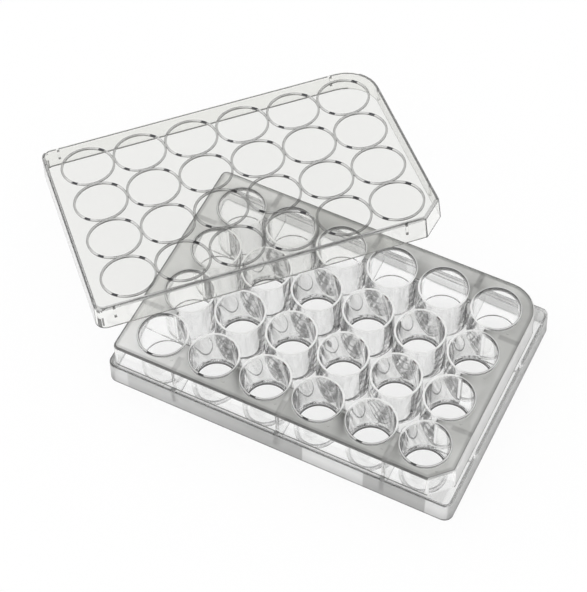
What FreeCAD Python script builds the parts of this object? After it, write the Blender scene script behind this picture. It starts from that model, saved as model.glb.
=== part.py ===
import FreeCAD, Part
import math
import os

import Sketcher

# A clear 24-well culture plate with its lid lifted off and leaning across one corner of it.
#
# Frame: +Z up, millimetres.  The origin is the middle of the plate's base, on the surface it stands on.
# X runs along the plate's long side and Y along its short side, away from the front.
# The plate and the lid are each one injection moulding.

SIZES = [
    # the plate's outside
    ("plate_length", 127.76, "footprint along X at the foot of the skirt"),
    ("plate_width", 85.48, "footprint along Y at the foot of the skirt"),
    ("plate_height", 20.2, "from the table to the rims of the wells"),
    ("foot_radius", 3.2, "upright corners of the skirt"),
    ("skirt_height", 9.1, "from the table to the ledge"),
    ("skirt_wall", 1.2, "thickness of the skirt"),
    ("skirt_draft", 0.35, "how far the skirt leans in by its top"),
    ("ledge_thickness", 1.2, "thickness of the ledge on top of the skirt"),
    ("ledge_radius", 0.4, "rounding of the ledge's outer edge"),
    # the upright wall above the ledge, and the deck on top of it
    ("wall_inset_x", 2.2, "from the footprint's ends in to the foot of the upper wall"),
    ("wall_inset_y", 1.6, "from the footprint's sides in to the foot of the upper wall"),
    ("wall_thickness", 1.0, "thickness of the upper wall"),
    ("wall_draft", 0.35, "how far the upper wall leans in by the deck"),
    ("deck_thickness", 1.2, "thickness of the deck round the outer wells"),
    ("lip_radius", 0.7, "rounding of the deck's outer edge"),
    ("small_radius", 2.4, "the two left corners of the upper wall"),
    ("large_radius", 11.8, "the back right corner of the upper wall"),
    ("corner_cut", 7.0, "legs of the cut across the front right corner"),
    # the wells
    ("columns", 6, "wells along X"),
    ("rows", 4, "wells along Y"),
    ("end_margin", 15.63, "from the footprint's ends in to the axes of the outer columns, before the shift"),
    ("side_margin", 13.79, "from the footprint's sides in to the axes of the outer rows, before the shift"),
    ("grid_shift_x", 0.4, "middle of the wells from the middle of the footprint"),
    ("grid_shift_y", -0.5, "middle of the wells from the middle of the footprint"),
    ("well_gap", 1.6, "between the outsides of neighbouring wells at their rims"),
    ("well_draft", 0.25, "how much narrower a well is at its floor"),
    ("well_wall", 0.68, "thickness of a well's wall"),
    ("well_depth", 17.0, "from the rim to the well's floor"),
    ("well_floor", 1.2, "thickness of a well's floor"),
    ("well_corner", 0.8, "rounding between a well's wall and floor"),
    ("rim_rise", 0.9, "how far the rims stand above the deck"),
    # what joins the wells to each other and to the upper wall
    ("web_thickness", 1.0, "upright webs that close the pockets off between the outermost wells"),
    ("pocket_inset", 0.1, "how far inside the wells' outsides the pockets' walls start at the deck"),
    ("pocket_lean", 0.8, "how far the pockets' walls lean in towards each other by their foot"),
    ("pan_height", 3.0, "underside of the floor that closes the gaps between wells"),
    ("pan_thickness", 1.2, "thickness of that floor"),
    ("pan_disc_radius", 2.75, "round ejector pad on that floor in each gap"),
    ("pan_disc_rise", 0.3, "how far the ejector pads stand up"),
    ("gate_radius", 0.8, "stub of the moulding gate under the middle of the plate"),
    ("gate_length", 0.5, "how far the gate stub hangs down"),
    ("rib_thickness", 1.4, "ribs from the upper wall to the wells"),
    ("rib_foot", 2.4, "underside of the ribs above the table"),
    ("dot_radius", 0.55, "small raised dots on the deck beside the outer wells"),
    ("dot_rise", 0.15, "how far the dots stand up"),
    ("dot_offset", 7.15, "dots from the well's axis, along X and against Y"),
    # the lid
    ("lid_clearance", 0.2, "gap between the closed lid and the deck's edge, all round"),
    ("lid_wall", 0.9, "thickness of the lid's skirt"),
    ("lid_draft", 0.45, "how far the lid's skirt leans in by its top"),
    ("lid_depth", 9.1, "outside height of the lid"),
    ("lid_top", 1.2, "thickness of the lid's top"),
    ("lid_edge_radius", 1.1, "rounding of the lid's top edge"),
    ("ring_gap", 0.14, "condensation ring outside the well rim that it surrounds"),
    ("ring_width", 0.8, "thickness of a condensation ring"),
    ("ring_height", 0.6, "how far a condensation ring hangs below the lid's top"),
    ("guide_width", 0.9, "small guides inside the lid's skirt, along the skirt"),
    ("guide_reach", 0.25, "how far the guides stand in from the skirt"),
    ("guide_length", 4.6, "how far the guides run down from the lid's top"),
    ("guide_left_end", 6.88, "left guides on the long sides, from the lid's left end"),
    ("guide_right_end", 14.98, "right guides on the long sides, from the lid's right end"),
    ("guide_left_side", 7.24, "guides on the left end, from the lid's long sides"),
    ("guide_right_side", 15.34, "guides on the right end, from the lid's long sides"),
    # where the lid leans
    ("lid_yaw", 44.67, "the lid's long side, turned from X in degrees"),
    ("lid_shift_x", -53.0, "middle of the lid's foot from the plate's middle"),
    ("lid_shift_y", 36.35, "middle of the lid's foot from the plate's middle"),
    ("rest_gap", 0.02, "left between the lid and what it rests on"),
]

# Sizes that follow from others: the wells fill the footprint inside its margins, and stay round.
DERIVED = [
    ("pitch_x", "=(plate_length - 2 * end_margin) / (columns - 1)", "between neighbouring wells along X"),
    ("pitch_y", "=(plate_width - 2 * side_margin) / (rows - 1)", "between neighbouring wells along Y"),
    ("well_radius", "=(min(pitch_x; pitch_y) - well_gap) / 2 - well_wall", "inside of a well at its rim"),
]

doc = FreeCAD.newDocument("well_plate")
sheet = doc.addObject("Spreadsheet::Sheet", "sizes")
for row, (alias, value, meaning) in enumerate(SIZES + DERIVED, start=1):
    sheet.set("A%d" % row, alias)
    sheet.set("B%d" % row, str(value))
    sheet.set("C%d" % row, meaning)
    sheet.setAlias("B%d" % row, alias)
doc.recompute()


def size(alias):
    """A driving dimension's value, for the few places that no expression can reach."""
    return float(sheet.get(alias))


COLUMNS = int(size("columns"))
ROWS = int(size("rows"))
TINY = 0.01

# Levels and outlines that several features share, as expressions of the sheet.
DECK_TOP = "(sizes.plate_height - sizes.rim_rise)"
DECK_UNDERSIDE = "(%s - sizes.deck_thickness)" % DECK_TOP
LEDGE_UNDERSIDE = "(sizes.skirt_height - sizes.ledge_thickness)"
WELL_FLOOR = "(sizes.plate_height - sizes.well_depth)"
WELL_FOOT = "(%s - sizes.well_floor)" % WELL_FLOOR
PAN_TOP = "(sizes.pan_height + sizes.pan_thickness)"
WALL_X = "(sizes.plate_length / 2 - sizes.wall_inset_x)"
WALL_Y = "(sizes.plate_width / 2 - sizes.wall_inset_y)"
LID_X = "(%s - sizes.wall_draft + sizes.lid_clearance + sizes.lid_draft + sizes.lid_wall)" % WALL_X
LID_Y = "(%s - sizes.wall_draft + sizes.lid_clearance + sizes.lid_draft + sizes.lid_wall)" % WALL_Y
LID_UNDERSIDE = "(sizes.lid_depth - sizes.lid_top)"
# An outline set in by a wall's thickness keeps the cut corner parallel to itself.
CUT_SHARE = 2 - math.sqrt(2)


def well_x(column):
    return "(sizes.grid_shift_x + (%g) * sizes.pitch_x)" % (column - (COLUMNS - 1) / 2)


def well_y(row):
    return "(sizes.grid_shift_y + (%g) * sizes.pitch_y)" % (row - (ROWS - 1) / 2)


def value_of(expression):
    """The number that an expression of the sheet comes to now."""
    return float(sheet.evalExpression(expression))


def new_body(label):
    """A body, and a function that makes sketches flat on its XY plane at a given height."""
    body = doc.addObject("PartDesign::Body", label)
    body.Label = label
    xy_plane = [plane for plane in body.Origin.OriginFeatures if plane.Role == "XY_Plane"][0]

    def new_sketch(name, level):
        sketch = body.newObject("Sketcher::SketchObject", name)
        sketch.AttachmentSupport = [(xy_plane, "")]
        sketch.MapMode = "FlatFace"
        sketch.setExpression(".AttachmentOffset.Base.z", level)
        return sketch

    return body, new_sketch


def bind(sketch, constraint, name, expression):
    """Add a dimension to a sketch and tie it to the sheet."""
    sketch.addConstraint(constraint)
    index = sketch.ConstraintCount - 1
    sketch.renameConstraint(index, name)
    sketch.setExpression("Constraints." + name, expression)


def point(x, y):
    return FreeCAD.Vector(x, y, 0)


ORIGIN = (-1, 1)


def place_point(sketch, geometry, end, name, x, y):
    """Dimension one point of a sketch from its origin."""
    bind(sketch, Sketcher.Constraint("DistanceX", *ORIGIN, geometry, end, value_of(x)), name + "_x", x)
    bind(sketch, Sketcher.Constraint("DistanceY", *ORIGIN, geometry, end, value_of(y)), name + "_y", y)


def draw_rectangle(sketch, name, left, right, front, back):
    """A rectangle whose two opposite corners are dimensioned from the origin."""
    x0, x1, y0, y1 = (value_of(side) for side in (left, right, front, back))
    corners = [point(x0, y0), point(x1, y0), point(x1, y1), point(x0, y1)]
    first = sketch.GeometryCount
    for index in range(4):
        sketch.addGeometry(Part.LineSegment(corners[index], corners[(index + 1) % 4]), False)
    for index in range(4):
        here, after = first + index, first + (index + 1) % 4
        sketch.addConstraint(Sketcher.Constraint("Coincident", here, 2, after, 1))
        sketch.addConstraint(Sketcher.Constraint("Vertical" if index % 2 else "Horizontal", here))
    place_point(sketch, first, 1, name + "_front_left", left, front)
    place_point(sketch, first + 2, 1, name + "_back_right", right, back)


def draw_circle(sketch, name, x, y, radius):
    """A circle with its centre and radius dimensioned."""
    centre = point(value_of(x), value_of(y))
    sketch.addGeometry(Part.Circle(centre, FreeCAD.Vector(0, 0, 1), value_of(radius)), False)
    circle = sketch.GeometryCount - 1
    place_point(sketch, circle, 3, name, x, y)
    bind(sketch, Sketcher.Constraint("Radius", circle, value_of(radius)), name + "_radius", radius)


def draw_outline(sketch, half_x, half_y, front_left, back_left, back_right, front_right=None, cut=None):
    """A rectangle about the origin with round corners, or with its front right corner cut across.

    The corner arguments are radii.  Give cut, the length of the cut's legs, in place of front_right.
    """
    hx, hy = value_of(half_x), value_of(half_y)
    corners = [
        ("front_right", 1, -1, front_right),
        ("back_right", 1, 1, back_right),
        ("back_left", -1, 1, back_left),
        ("front_left", -1, -1, front_left),
    ]
    # Where each side starts and ends: front, right, back, left.
    trims = [value_of(cut if radius is None else radius) for _, _, _, radius in corners]
    fr, br, bl, fl = trims
    sides = [
        (point(-hx + fl, -hy), point(hx - fr, -hy)),
        (point(hx, -hy + fr), point(hx, hy - br)),
        (point(hx - br, hy), point(-hx + bl, hy)),
        (point(-hx, hy - bl), point(-hx, -hy + fl)),
    ]
    for start, end in sides:
        sketch.addGeometry(Part.LineSegment(start, end), False)
    for index, (name, sign_x, sign_y, radius) in enumerate(corners):
        before, after = index, (index + 1) % 4
        if radius is None:
            sketch.addGeometry(Part.LineSegment(sides[before][1], sides[after][0]), False)
            corner = sketch.GeometryCount - 1
            sketch.addConstraint(Sketcher.Constraint("Coincident", before, 2, corner, 1))
            sketch.addConstraint(Sketcher.Constraint("Coincident", corner, 2, after, 1))
            leg = value_of(cut)
            bind(sketch, Sketcher.Constraint("DistanceX", corner, 1, corner, 2, leg), "cut_x", cut)
            bind(sketch, Sketcher.Constraint("DistanceY", corner, 1, corner, 2, leg), "cut_y", cut)
            continue
        r = value_of(radius)
        centre = point(sign_x * (hx - r), sign_y * (hy - r))
        start_angle = (index - 1) * math.pi / 2
        circle = Part.Circle(centre, FreeCAD.Vector(0, 0, 1), r)
        sketch.addGeometry(Part.ArcOfCircle(circle, start_angle, start_angle + math.pi / 2), False)
        corner = sketch.GeometryCount - 1
        sketch.addConstraint(Sketcher.Constraint("Tangent", before, 2, corner, 1))
        sketch.addConstraint(Sketcher.Constraint("Tangent", corner, 2, after, 1))
        bind(sketch, Sketcher.Constraint("Radius", corner, r), name + "_radius", radius)
    for side, kind in enumerate(("Horizontal", "Vertical", "Horizontal", "Vertical")):
        sketch.addConstraint(Sketcher.Constraint(kind, side))
    front_side, right_side, back_side, left_side = range(4)
    bind(sketch, Sketcher.Constraint("DistanceY", front_side, 1, *ORIGIN, hy), "front", half_y)
    bind(sketch, Sketcher.Constraint("DistanceX", *ORIGIN, right_side, 1, hx), "right", half_x)
    bind(sketch, Sketcher.Constraint("DistanceY", *ORIGIN, back_side, 1, hy), "back", half_y)
    bind(sketch, Sketcher.Constraint("DistanceX", left_side, 1, *ORIGIN, hx), "left", half_x)


def pad(body, name, sketch, length, lean=None):
    """Raise a sketch by a length, its sides leaning in by lean over that length."""
    feature = body.newObject("PartDesign::Pad", name)
    feature.Profile = sketch
    feature.setExpression("Length", length)
    if lean is not None:
        feature.setExpression("TaperAngle", "-atan(%s / (%s))" % (lean, length))
    doc.recompute()
    return feature


def pocket(body, name, sketch, length, lean=None):
    """Cut upward from a sketch by a length, and check that it cut something."""
    before = body.Shape.Volume
    feature = body.newObject("PartDesign::Pocket", name)
    feature.Profile = sketch
    feature.Reversed = True
    feature.setExpression("Length", length)
    if lean is not None:
        feature.setExpression("TaperAngle", "-atan(%s / (%s))" % (lean, length))
    doc.recompute()
    if body.Shape.Volume >= before:
        raise RuntimeError("pocket %s cut nothing" % name)
    return feature


def round_edges(body, name, base, radius, wanted):
    """Fillet the edges of a feature that wanted picks out."""
    names = ["Edge%d" % number for number, edge in enumerate(base.Shape.Edges, start=1) if wanted(edge)]
    feature = body.newObject("PartDesign::Fillet", name)
    feature.Base = (base, names)
    feature.setExpression("Radius", radius)
    doc.recompute()
    return feature


def lies_at(edge, level):
    """Whether an edge lies flat at a height."""
    box = edge.BoundBox
    return abs(box.ZMin - level) < TINY and abs(box.ZMax - level) < TINY


WELLS = [(column, row) for row in range(ROWS) for column in range(COLUMNS)]
GAPS = [(column + 0.5, row + 0.5) for row in range(ROWS - 1) for column in range(COLUMNS - 1)]
FIRST_X, LAST_X = well_x(0), well_x(COLUMNS - 1)
FIRST_Y, LAST_Y = well_y(0), well_y(ROWS - 1)


def shell(body, new_sketch):
    """Skirt, ledge, upper wall and deck, hollow underneath."""
    half_x, half_y = "sizes.plate_length / 2", "sizes.plate_width / 2"
    foot = new_sketch("footprint", "0")
    draw_outline(foot, half_x, half_y, *["sizes.foot_radius"] * 4)
    skirt = pad(body, "skirt", foot, "sizes.skirt_height", "sizes.skirt_draft")
    ledge_level = size("skirt_height")
    skirt = round_edges(body, "ledge_edge", skirt, "sizes.ledge_radius", lambda edge: lies_at(edge, ledge_level))

    corners = {
        "front_left": "sizes.small_radius",
        "back_left": "sizes.small_radius",
        "back_right": "sizes.large_radius",
        "cut": "sizes.corner_cut",
    }
    wall_foot = new_sketch("wall_foot", "sizes.skirt_height")
    draw_outline(wall_foot, WALL_X, WALL_Y, **corners)
    wall = pad(body, "upper_wall", wall_foot, "%s - sizes.skirt_height" % DECK_TOP, "sizes.wall_draft")
    deck_level = value_of(DECK_TOP)
    round_edges(body, "deck_lip", wall, "sizes.lip_radius", lambda edge: lies_at(edge, deck_level))

    inside_skirt = new_sketch("inside_skirt", "0")
    thickness = "sizes.skirt_wall"
    draw_outline(
        inside_skirt,
        "%s - %s" % (half_x, thickness),
        "%s - %s" % (half_y, thickness),
        *["sizes.foot_radius - %s" % thickness] * 4,
    )
    pocket(body, "skirt_hollow", inside_skirt, LEDGE_UNDERSIDE, "sizes.skirt_draft")

    inside_wall = new_sketch("inside_wall", LEDGE_UNDERSIDE)
    thickness = "(sizes.wall_thickness + sizes.wall_draft)"
    draw_outline(
        inside_wall,
        "%s - %s" % (WALL_X, thickness),
        "%s - %s" % (WALL_Y, thickness),
        front_left="sizes.small_radius - sizes.wall_thickness",
        back_left="sizes.small_radius - sizes.wall_thickness",
        back_right="sizes.large_radius - %s" % thickness,
        cut="sizes.corner_cut - %r * %s" % (CUT_SHARE, thickness),
    )
    pocket(body, "wall_hollow", inside_wall, "%s - %s" % (DECK_UNDERSIDE, LEDGE_UNDERSIDE))

    opening = new_sketch("deck_opening", DECK_UNDERSIDE)
    draw_rectangle(opening, "opening", FIRST_X, LAST_X, FIRST_Y, LAST_Y)
    pocket(body, "deck_cut", opening, "sizes.deck_thickness")


def joining(body, new_sketch):
    """The floor between the wells, the webs between the outermost ones, and the ribs out to the upper wall."""
    pan = new_sketch("pan_outline", "sizes.pan_height")
    draw_rectangle(pan, "pan", FIRST_X, LAST_X, FIRST_Y, LAST_Y)
    pad(body, "pan", pan, "%s - sizes.pan_height" % DECK_TOP)
    cut = body.newObject("PartDesign::Boolean", "pockets")
    cut.Type = "Cut"
    cut.setObjects([pockets_between_wells()])
    doc.recompute()

    half_web = "sizes.web_thickness / 2"
    web_height = "%s - sizes.pan_height" % DECK_TOP
    along_x = new_sketch("webs_along_x", "sizes.pan_height")
    for row in (0, ROWS - 1):
        y = well_y(row)
        sides = ("%s - %s" % (y, half_web), "%s + %s" % (y, half_web))
        draw_rectangle(along_x, "row_%d" % row, FIRST_X, LAST_X, *sides)
    pad(body, "web_rows", along_x, web_height)
    along_y = new_sketch("webs_along_y", "sizes.pan_height")
    for column in (0, COLUMNS - 1):
        x = well_x(column)
        sides = ("%s - %s" % (x, half_web), "%s + %s" % (x, half_web))
        draw_rectangle(along_y, "column_%d" % column, *sides, FIRST_Y, LAST_Y)
    pad(body, "web_columns", along_y, web_height)

    rib_stage(body, new_sketch, "lower_ribs", "sizes.rib_foot", "%s - sizes.rib_foot" % LEDGE_UNDERSIDE,
              "sizes.plate_length / 2 - sizes.skirt_wall", "sizes.plate_width / 2 - sizes.skirt_wall")
    rib_stage(body, new_sketch, "upper_ribs", "sizes.rib_foot", "%s - sizes.rib_foot" % DECK_UNDERSIDE,
              "%s - sizes.wall_thickness - sizes.wall_draft" % WALL_X,
              "%s - sizes.wall_thickness - sizes.wall_draft" % WALL_Y)


def pockets_between_wells():
    """The pockets, open upwards: what a block leaves round leaning walls, which are thicker at their foot.

    Neighbouring walls run into each other at their foot, so they are drawn as two chequered sets.
    """
    body, new_sketch = new_body("pocket_shape")
    depth = "(%s - sizes.pan_height - sizes.pan_thickness)" % DECK_TOP
    block = new_sketch("pocket_block_outline", PAN_TOP)
    draw_rectangle(block, "pocket_block", FIRST_X, LAST_X, FIRST_Y, LAST_Y)
    pad(body, "pocket_block", block, depth)
    for parity, name in enumerate(("walls_even", "walls_odd")):
        sketch = new_sketch(name + "_outline", PAN_TOP)
        for column, row in WELLS:
            if (column + row) % 2 == parity:
                radius = "sizes.well_radius + sizes.well_wall - sizes.pocket_inset + sizes.pocket_lean"
                draw_circle(sketch, "wall_%d_%d" % (column, row), well_x(column), well_y(row), radius)
        pocket(body, name, sketch, depth, "sizes.pocket_lean")
    return body


def rib_stage(body, new_sketch, name, foot, length, reach_x, reach_y):
    """Ribs at every other gap between outer wells, out to a wall's inner face and just into it."""
    half_rib = "sizes.rib_thickness / 2"
    bite = "sizes.wall_thickness / 4"
    sketch = new_sketch(name + "_outline", foot)
    for step in range(0, COLUMNS - 1, 2):
        x = well_x(step + 0.5)
        sides = ("%s - %s" % (x, half_rib), "%s + %s" % (x, half_rib))
        draw_rectangle(sketch, "front_%d" % step, *sides, "-(%s + %s)" % (reach_y, bite), FIRST_Y)
        draw_rectangle(sketch, "back_%d" % step, *sides, LAST_Y, "%s + %s" % (reach_y, bite))
    for step in range(0, ROWS - 1, 2):
        y = well_y(step + 0.5)
        sides = ("%s - %s" % (y, half_rib), "%s + %s" % (y, half_rib))
        draw_rectangle(sketch, "left_%d" % step, "-(%s + %s)" % (reach_x, bite), FIRST_X, *sides)
        draw_rectangle(sketch, "right_%d" % step, LAST_X, "%s + %s" % (reach_x, bite), *sides)
    pad(body, name, sketch, length)


def wells(body, new_sketch):
    """Twenty-four cups standing in the deck, with rims above it."""
    height = "sizes.well_depth + sizes.well_floor"
    outer = "sizes.well_radius + sizes.well_wall"
    outside = new_sketch("well_outsides", WELL_FOOT)
    for column, row in WELLS:
        name = "well_%d_%d" % (column, row)
        draw_circle(outside, name, well_x(column), well_y(row), outer + " - sizes.well_draft")
    cups = body.newObject("PartDesign::Pad", "cups")
    cups.Profile = outside
    cups.setExpression("Length", height)
    cups.setExpression("TaperAngle", "atan(sizes.well_draft / (%s))" % height)
    doc.recompute()

    inside = new_sketch("well_insides", WELL_FLOOR)
    for column, row in WELLS:
        name = "bore_%d_%d" % (column, row)
        draw_circle(inside, name, well_x(column), well_y(row), "sizes.well_radius - sizes.well_draft")
    bores = pocket(body, "bores", inside, "sizes.well_depth", "-1 * sizes.well_draft")
    floor_level = value_of(WELL_FLOOR)
    floor_radius = size("well_radius") - size("well_draft")

    def is_floor_edge(edge):
        return lies_at(edge, floor_level) and abs(edge.Length - 2 * math.pi * floor_radius) < TINY

    round_edges(body, "well_corners", bores, "sizes.well_corner", is_floor_edge)


def marks(body, new_sketch):
    """Ejector pads in the gaps, the gate stub under the middle, and dots on the deck."""
    discs = new_sketch("ejector_pads_outline", PAN_TOP)
    for column, row in GAPS:
        name = "pad_%d_%d" % (int(column), int(row))
        draw_circle(discs, name, well_x(column), well_y(row), "sizes.pan_disc_radius")
    pad(body, "ejector_pads", discs, "sizes.pan_disc_rise")

    gate = new_sketch("gate_outline", "sizes.pan_height - sizes.gate_length")
    draw_circle(gate, "gate", "sizes.grid_shift_x", "sizes.grid_shift_y", "sizes.gate_radius")
    pad(body, "gate_stub", gate, "sizes.gate_length")

    dots = new_sketch("dots_outline", DECK_TOP)
    beside = [(column, 0) for column in range(COLUMNS)]
    beside += [(COLUMNS - 1, row) for row in range(1, ROWS)]
    for column, row in beside:
        x = "%s + sizes.dot_offset" % well_x(column)
        y = "%s - sizes.dot_offset" % well_y(row)
        draw_circle(dots, "dot_%d_%d" % (column, row), x, y, "sizes.dot_radius")
    pad(body, "deck_dots", dots, "sizes.dot_rise")


def make_plate():
    body, new_sketch = new_body("plate")
    shell(body, new_sketch)
    joining(body, new_sketch)
    wells(body, new_sketch)
    marks(body, new_sketch)
    return body


def make_lid():
    """A shallow tray, open side down, in its own frame: origin at the middle of its foot."""
    body, new_sketch = new_body("lid")
    # The lid's corners run parallel to the deck's, outside them.
    outset = "(%s - (%s - sizes.wall_draft))" % (LID_X, WALL_X)
    wall = "sizes.lid_wall"
    foot = new_sketch("lid_foot", "0")
    draw_outline(
        foot, LID_X, LID_Y,
        front_left="sizes.small_radius + %s" % outset,
        back_left="sizes.small_radius + %s" % outset,
        back_right="sizes.large_radius + %s" % outset,
        cut="sizes.corner_cut + %r * %s" % (CUT_SHARE, outset),
    )
    block = pad(body, "lid_block", foot, "sizes.lid_depth", "sizes.lid_draft")
    top_level = size("lid_depth")
    round_edges(body, "lid_edge", block, "sizes.lid_edge_radius", lambda edge: lies_at(edge, top_level))

    inset = "(%s - %s)" % (outset, wall)
    inside = new_sketch("lid_inside", "0")
    draw_outline(
        inside, "%s - %s" % (LID_X, wall), "%s - %s" % (LID_Y, wall),
        front_left="sizes.small_radius + %s" % inset,
        back_left="sizes.small_radius + %s" % inset,
        back_right="sizes.large_radius + %s" % inset,
        cut="sizes.corner_cut + %r * %s" % (CUT_SHARE, inset),
    )
    pocket(body, "lid_hollow", inside, LID_UNDERSIDE, "sizes.lid_draft")
    condensation_rings(body, new_sketch)
    guides(body, new_sketch)
    return body


def condensation_rings(body, new_sketch):
    """A thin ring under the lid's top round each well.

    Neighbouring rings run into each other, so they are drawn as two chequered sets.
    """
    inner = "sizes.well_radius + sizes.well_wall + sizes.ring_gap"
    for parity, name in enumerate(("rings_even", "rings_odd")):
        sketch = new_sketch(name + "_outline", "%s - sizes.ring_height" % LID_UNDERSIDE)
        for column, row in WELLS:
            if (column + row) % 2 != parity:
                continue
            label = "ring_%d_%d" % (column, row)
            draw_circle(sketch, label + "_inner", well_x(column), well_y(row), inner)
            draw_circle(sketch, label + "_outer", well_x(column), well_y(row), inner + " + sizes.ring_width")
        pad(body, name, sketch, "sizes.ring_height")


def guides(body, new_sketch):
    """Eight small upright guides near the corners, inside the lid's skirt."""
    half = "sizes.guide_width / 2"
    # At its top the skirt's inside is narrower by the draft.
    inside_x = "(%s - sizes.lid_wall - sizes.lid_draft)" % LID_X
    inside_y = "(%s - sizes.lid_wall - sizes.lid_draft)" % LID_Y
    bite = "sizes.lid_wall / 2"
    sketch = new_sketch("guides_outline", "%s - sizes.guide_length" % LID_UNDERSIDE)
    left_x, right_x = "(sizes.guide_left_end - %s)" % LID_X, "(%s - sizes.guide_right_end)" % LID_X
    left_y, right_y = "(%s - sizes.guide_left_side)" % LID_Y, "(%s - sizes.guide_right_side)" % LID_Y
    for name, x in (("left", left_x), ("right", right_x)):
        sides = ("%s - %s" % (x, half), "%s + %s" % (x, half))
        inner, outer = "%s - sizes.guide_reach" % inside_y, "%s + %s" % (inside_y, bite)
        draw_rectangle(sketch, name + "_back", *sides, inner, outer)
        draw_rectangle(sketch, name + "_front", *sides, "-(%s)" % outer, "-(%s)" % inner)
    for name, sign, y in (("left", -1, left_y), ("right", 1, right_y)):
        inner, outer = "%s - sizes.guide_reach" % inside_x, "%s + %s" % (inside_x, bite)
        ends = ("-(%s)" % outer, "-(%s)" % inner) if sign < 0 else (inner, outer)
        draw_rectangle(sketch, name + "_side_back", *ends, "%s - %s" % (y, half), "%s + %s" % (y, half))
        draw_rectangle(sketch, name + "_side_front", *ends, "-%s - %s" % (y, half), "-%s + %s" % (y, half))
    pad(body, "lid_guides", sketch, "sizes.guide_length")


def lean_lid(lid):
    """Stand the lid's near edge on the rims and tip its far side down onto the deck's back left corner."""
    yaw = math.radians(size("lid_yaw"))
    # The way down the lid's slope, seen from above.
    down = FreeCAD.Vector(-math.sin(yaw), math.cos(yaw), 0)
    lid_middle = FreeCAD.Vector(size("lid_shift_x"), size("lid_shift_y"), 0)
    # The pivot is the inner edge of the near skirt's foot, and it rests on the rims.
    pivot_local = FreeCAD.Vector(0, -(value_of(LID_Y) - size("lid_wall")), 0)
    pivot = lid_middle + down * pivot_local.y
    pivot.z = size("plate_height") + size("rest_gap")
    # The deck's corner is a quarter circle, and its outermost point along the slope takes the condensation rings.
    corner_radius = size("small_radius")
    deck_x = value_of(WALL_X) - size("wall_draft")
    deck_y = value_of(WALL_Y) - size("wall_draft")
    corner = FreeCAD.Vector(-deck_x + corner_radius, deck_y - corner_radius, value_of(DECK_TOP))
    corner = corner + down * (corner_radius - size("lip_radius"))
    reach = (corner - pivot).dot(down)
    rise = corner.z + size("rest_gap") - pivot.z
    ring_edge = value_of(LID_UNDERSIDE) - size("ring_height")
    tilt = math.asin(ring_edge / math.hypot(reach, rise)) - math.atan2(rise, reach)
    turn = FreeCAD.Rotation(FreeCAD.Vector(0, 0, 1), math.degrees(yaw))
    tip = FreeCAD.Rotation(FreeCAD.Vector(1, 0, 0), -math.degrees(tilt))
    rotation = turn.multiply(tip)
    lid.Placement = FreeCAD.Placement(pivot - rotation.multVec(pivot_local), rotation)


plate = make_plate()
lid = make_lid()
lean_lid(lid)
doc.recompute()

for item in doc.Objects:
    if "Invalid" in item.State or "Error" in item.State:
        raise RuntimeError("%s failed: %s" % (item.Label, item.State))
for body in (plate, lid):
    if body.Shape.isNull() or not body.Shape.isValid() or len(body.Shape.Solids) != 1:
        raise RuntimeError("%s is not one valid solid" % body.Label)

os.makedirs("parts", exist_ok=True)
for body in (plate, lid):
    body.Shape.exportStep(os.path.join("parts", body.Label + ".step"))
    box = body.Shape.BoundBox
    print(
        "%s: %.1f x %.1f x %.1f mm, %.2f cm3, lowest %.3f"
        % (body.Label, box.XLength, box.YLength, box.ZLength, body.Shape.Volume / 1000, box.ZMin)
    )
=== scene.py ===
import math

import bpy
from mathutils import Matrix, Vector


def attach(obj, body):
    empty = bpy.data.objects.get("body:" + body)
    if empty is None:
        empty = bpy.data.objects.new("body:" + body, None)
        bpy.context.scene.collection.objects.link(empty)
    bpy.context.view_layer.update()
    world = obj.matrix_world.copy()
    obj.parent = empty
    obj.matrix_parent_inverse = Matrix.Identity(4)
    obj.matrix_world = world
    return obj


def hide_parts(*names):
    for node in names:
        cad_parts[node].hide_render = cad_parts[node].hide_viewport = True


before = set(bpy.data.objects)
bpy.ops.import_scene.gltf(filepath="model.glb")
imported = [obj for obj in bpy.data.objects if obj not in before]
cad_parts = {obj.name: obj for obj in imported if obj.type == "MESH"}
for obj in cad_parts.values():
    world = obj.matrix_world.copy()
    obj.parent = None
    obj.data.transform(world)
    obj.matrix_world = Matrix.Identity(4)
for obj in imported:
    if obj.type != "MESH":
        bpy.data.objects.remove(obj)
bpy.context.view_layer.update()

bl_info = {
    "name": "Clear Well Plate",
    "version": (1, 0, 0),
    "blender": (4, 5, 0),
    "location": "3D View > Sidebar > Well Plate",
    "description": "A clear 24-well culture plate with its lid leaning across one corner",
    "category": "Object",
}

MM = 0.001
# Operands reach this far past the face that they cut or join, so that no two faces coincide.
BITE = 0.05 * MM


# ---------------------------------------------------------------- sizes and finishes


def length(name, description, millimetres):
    """A size in metres, given here in millimetres."""
    return bpy.props.FloatProperty(
        name=name,
        description=description,
        default=millimetres * MM,
        min=-1.0,
        max=1.0,
        precision=5,
        subtype="DISTANCE",
        unit="LENGTH",
    )


def turn(name, description, degrees):
    """An angle, given here in degrees."""
    return bpy.props.FloatProperty(
        name=name, description=description, default=math.radians(degrees), subtype="ANGLE", unit="ROTATION"
    )


def colour(name, description, red, green, blue):
    return bpy.props.FloatVectorProperty(
        name=name, description=description, default=(red, green, blue), min=0.0, max=1.0, subtype="COLOR"
    )


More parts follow.
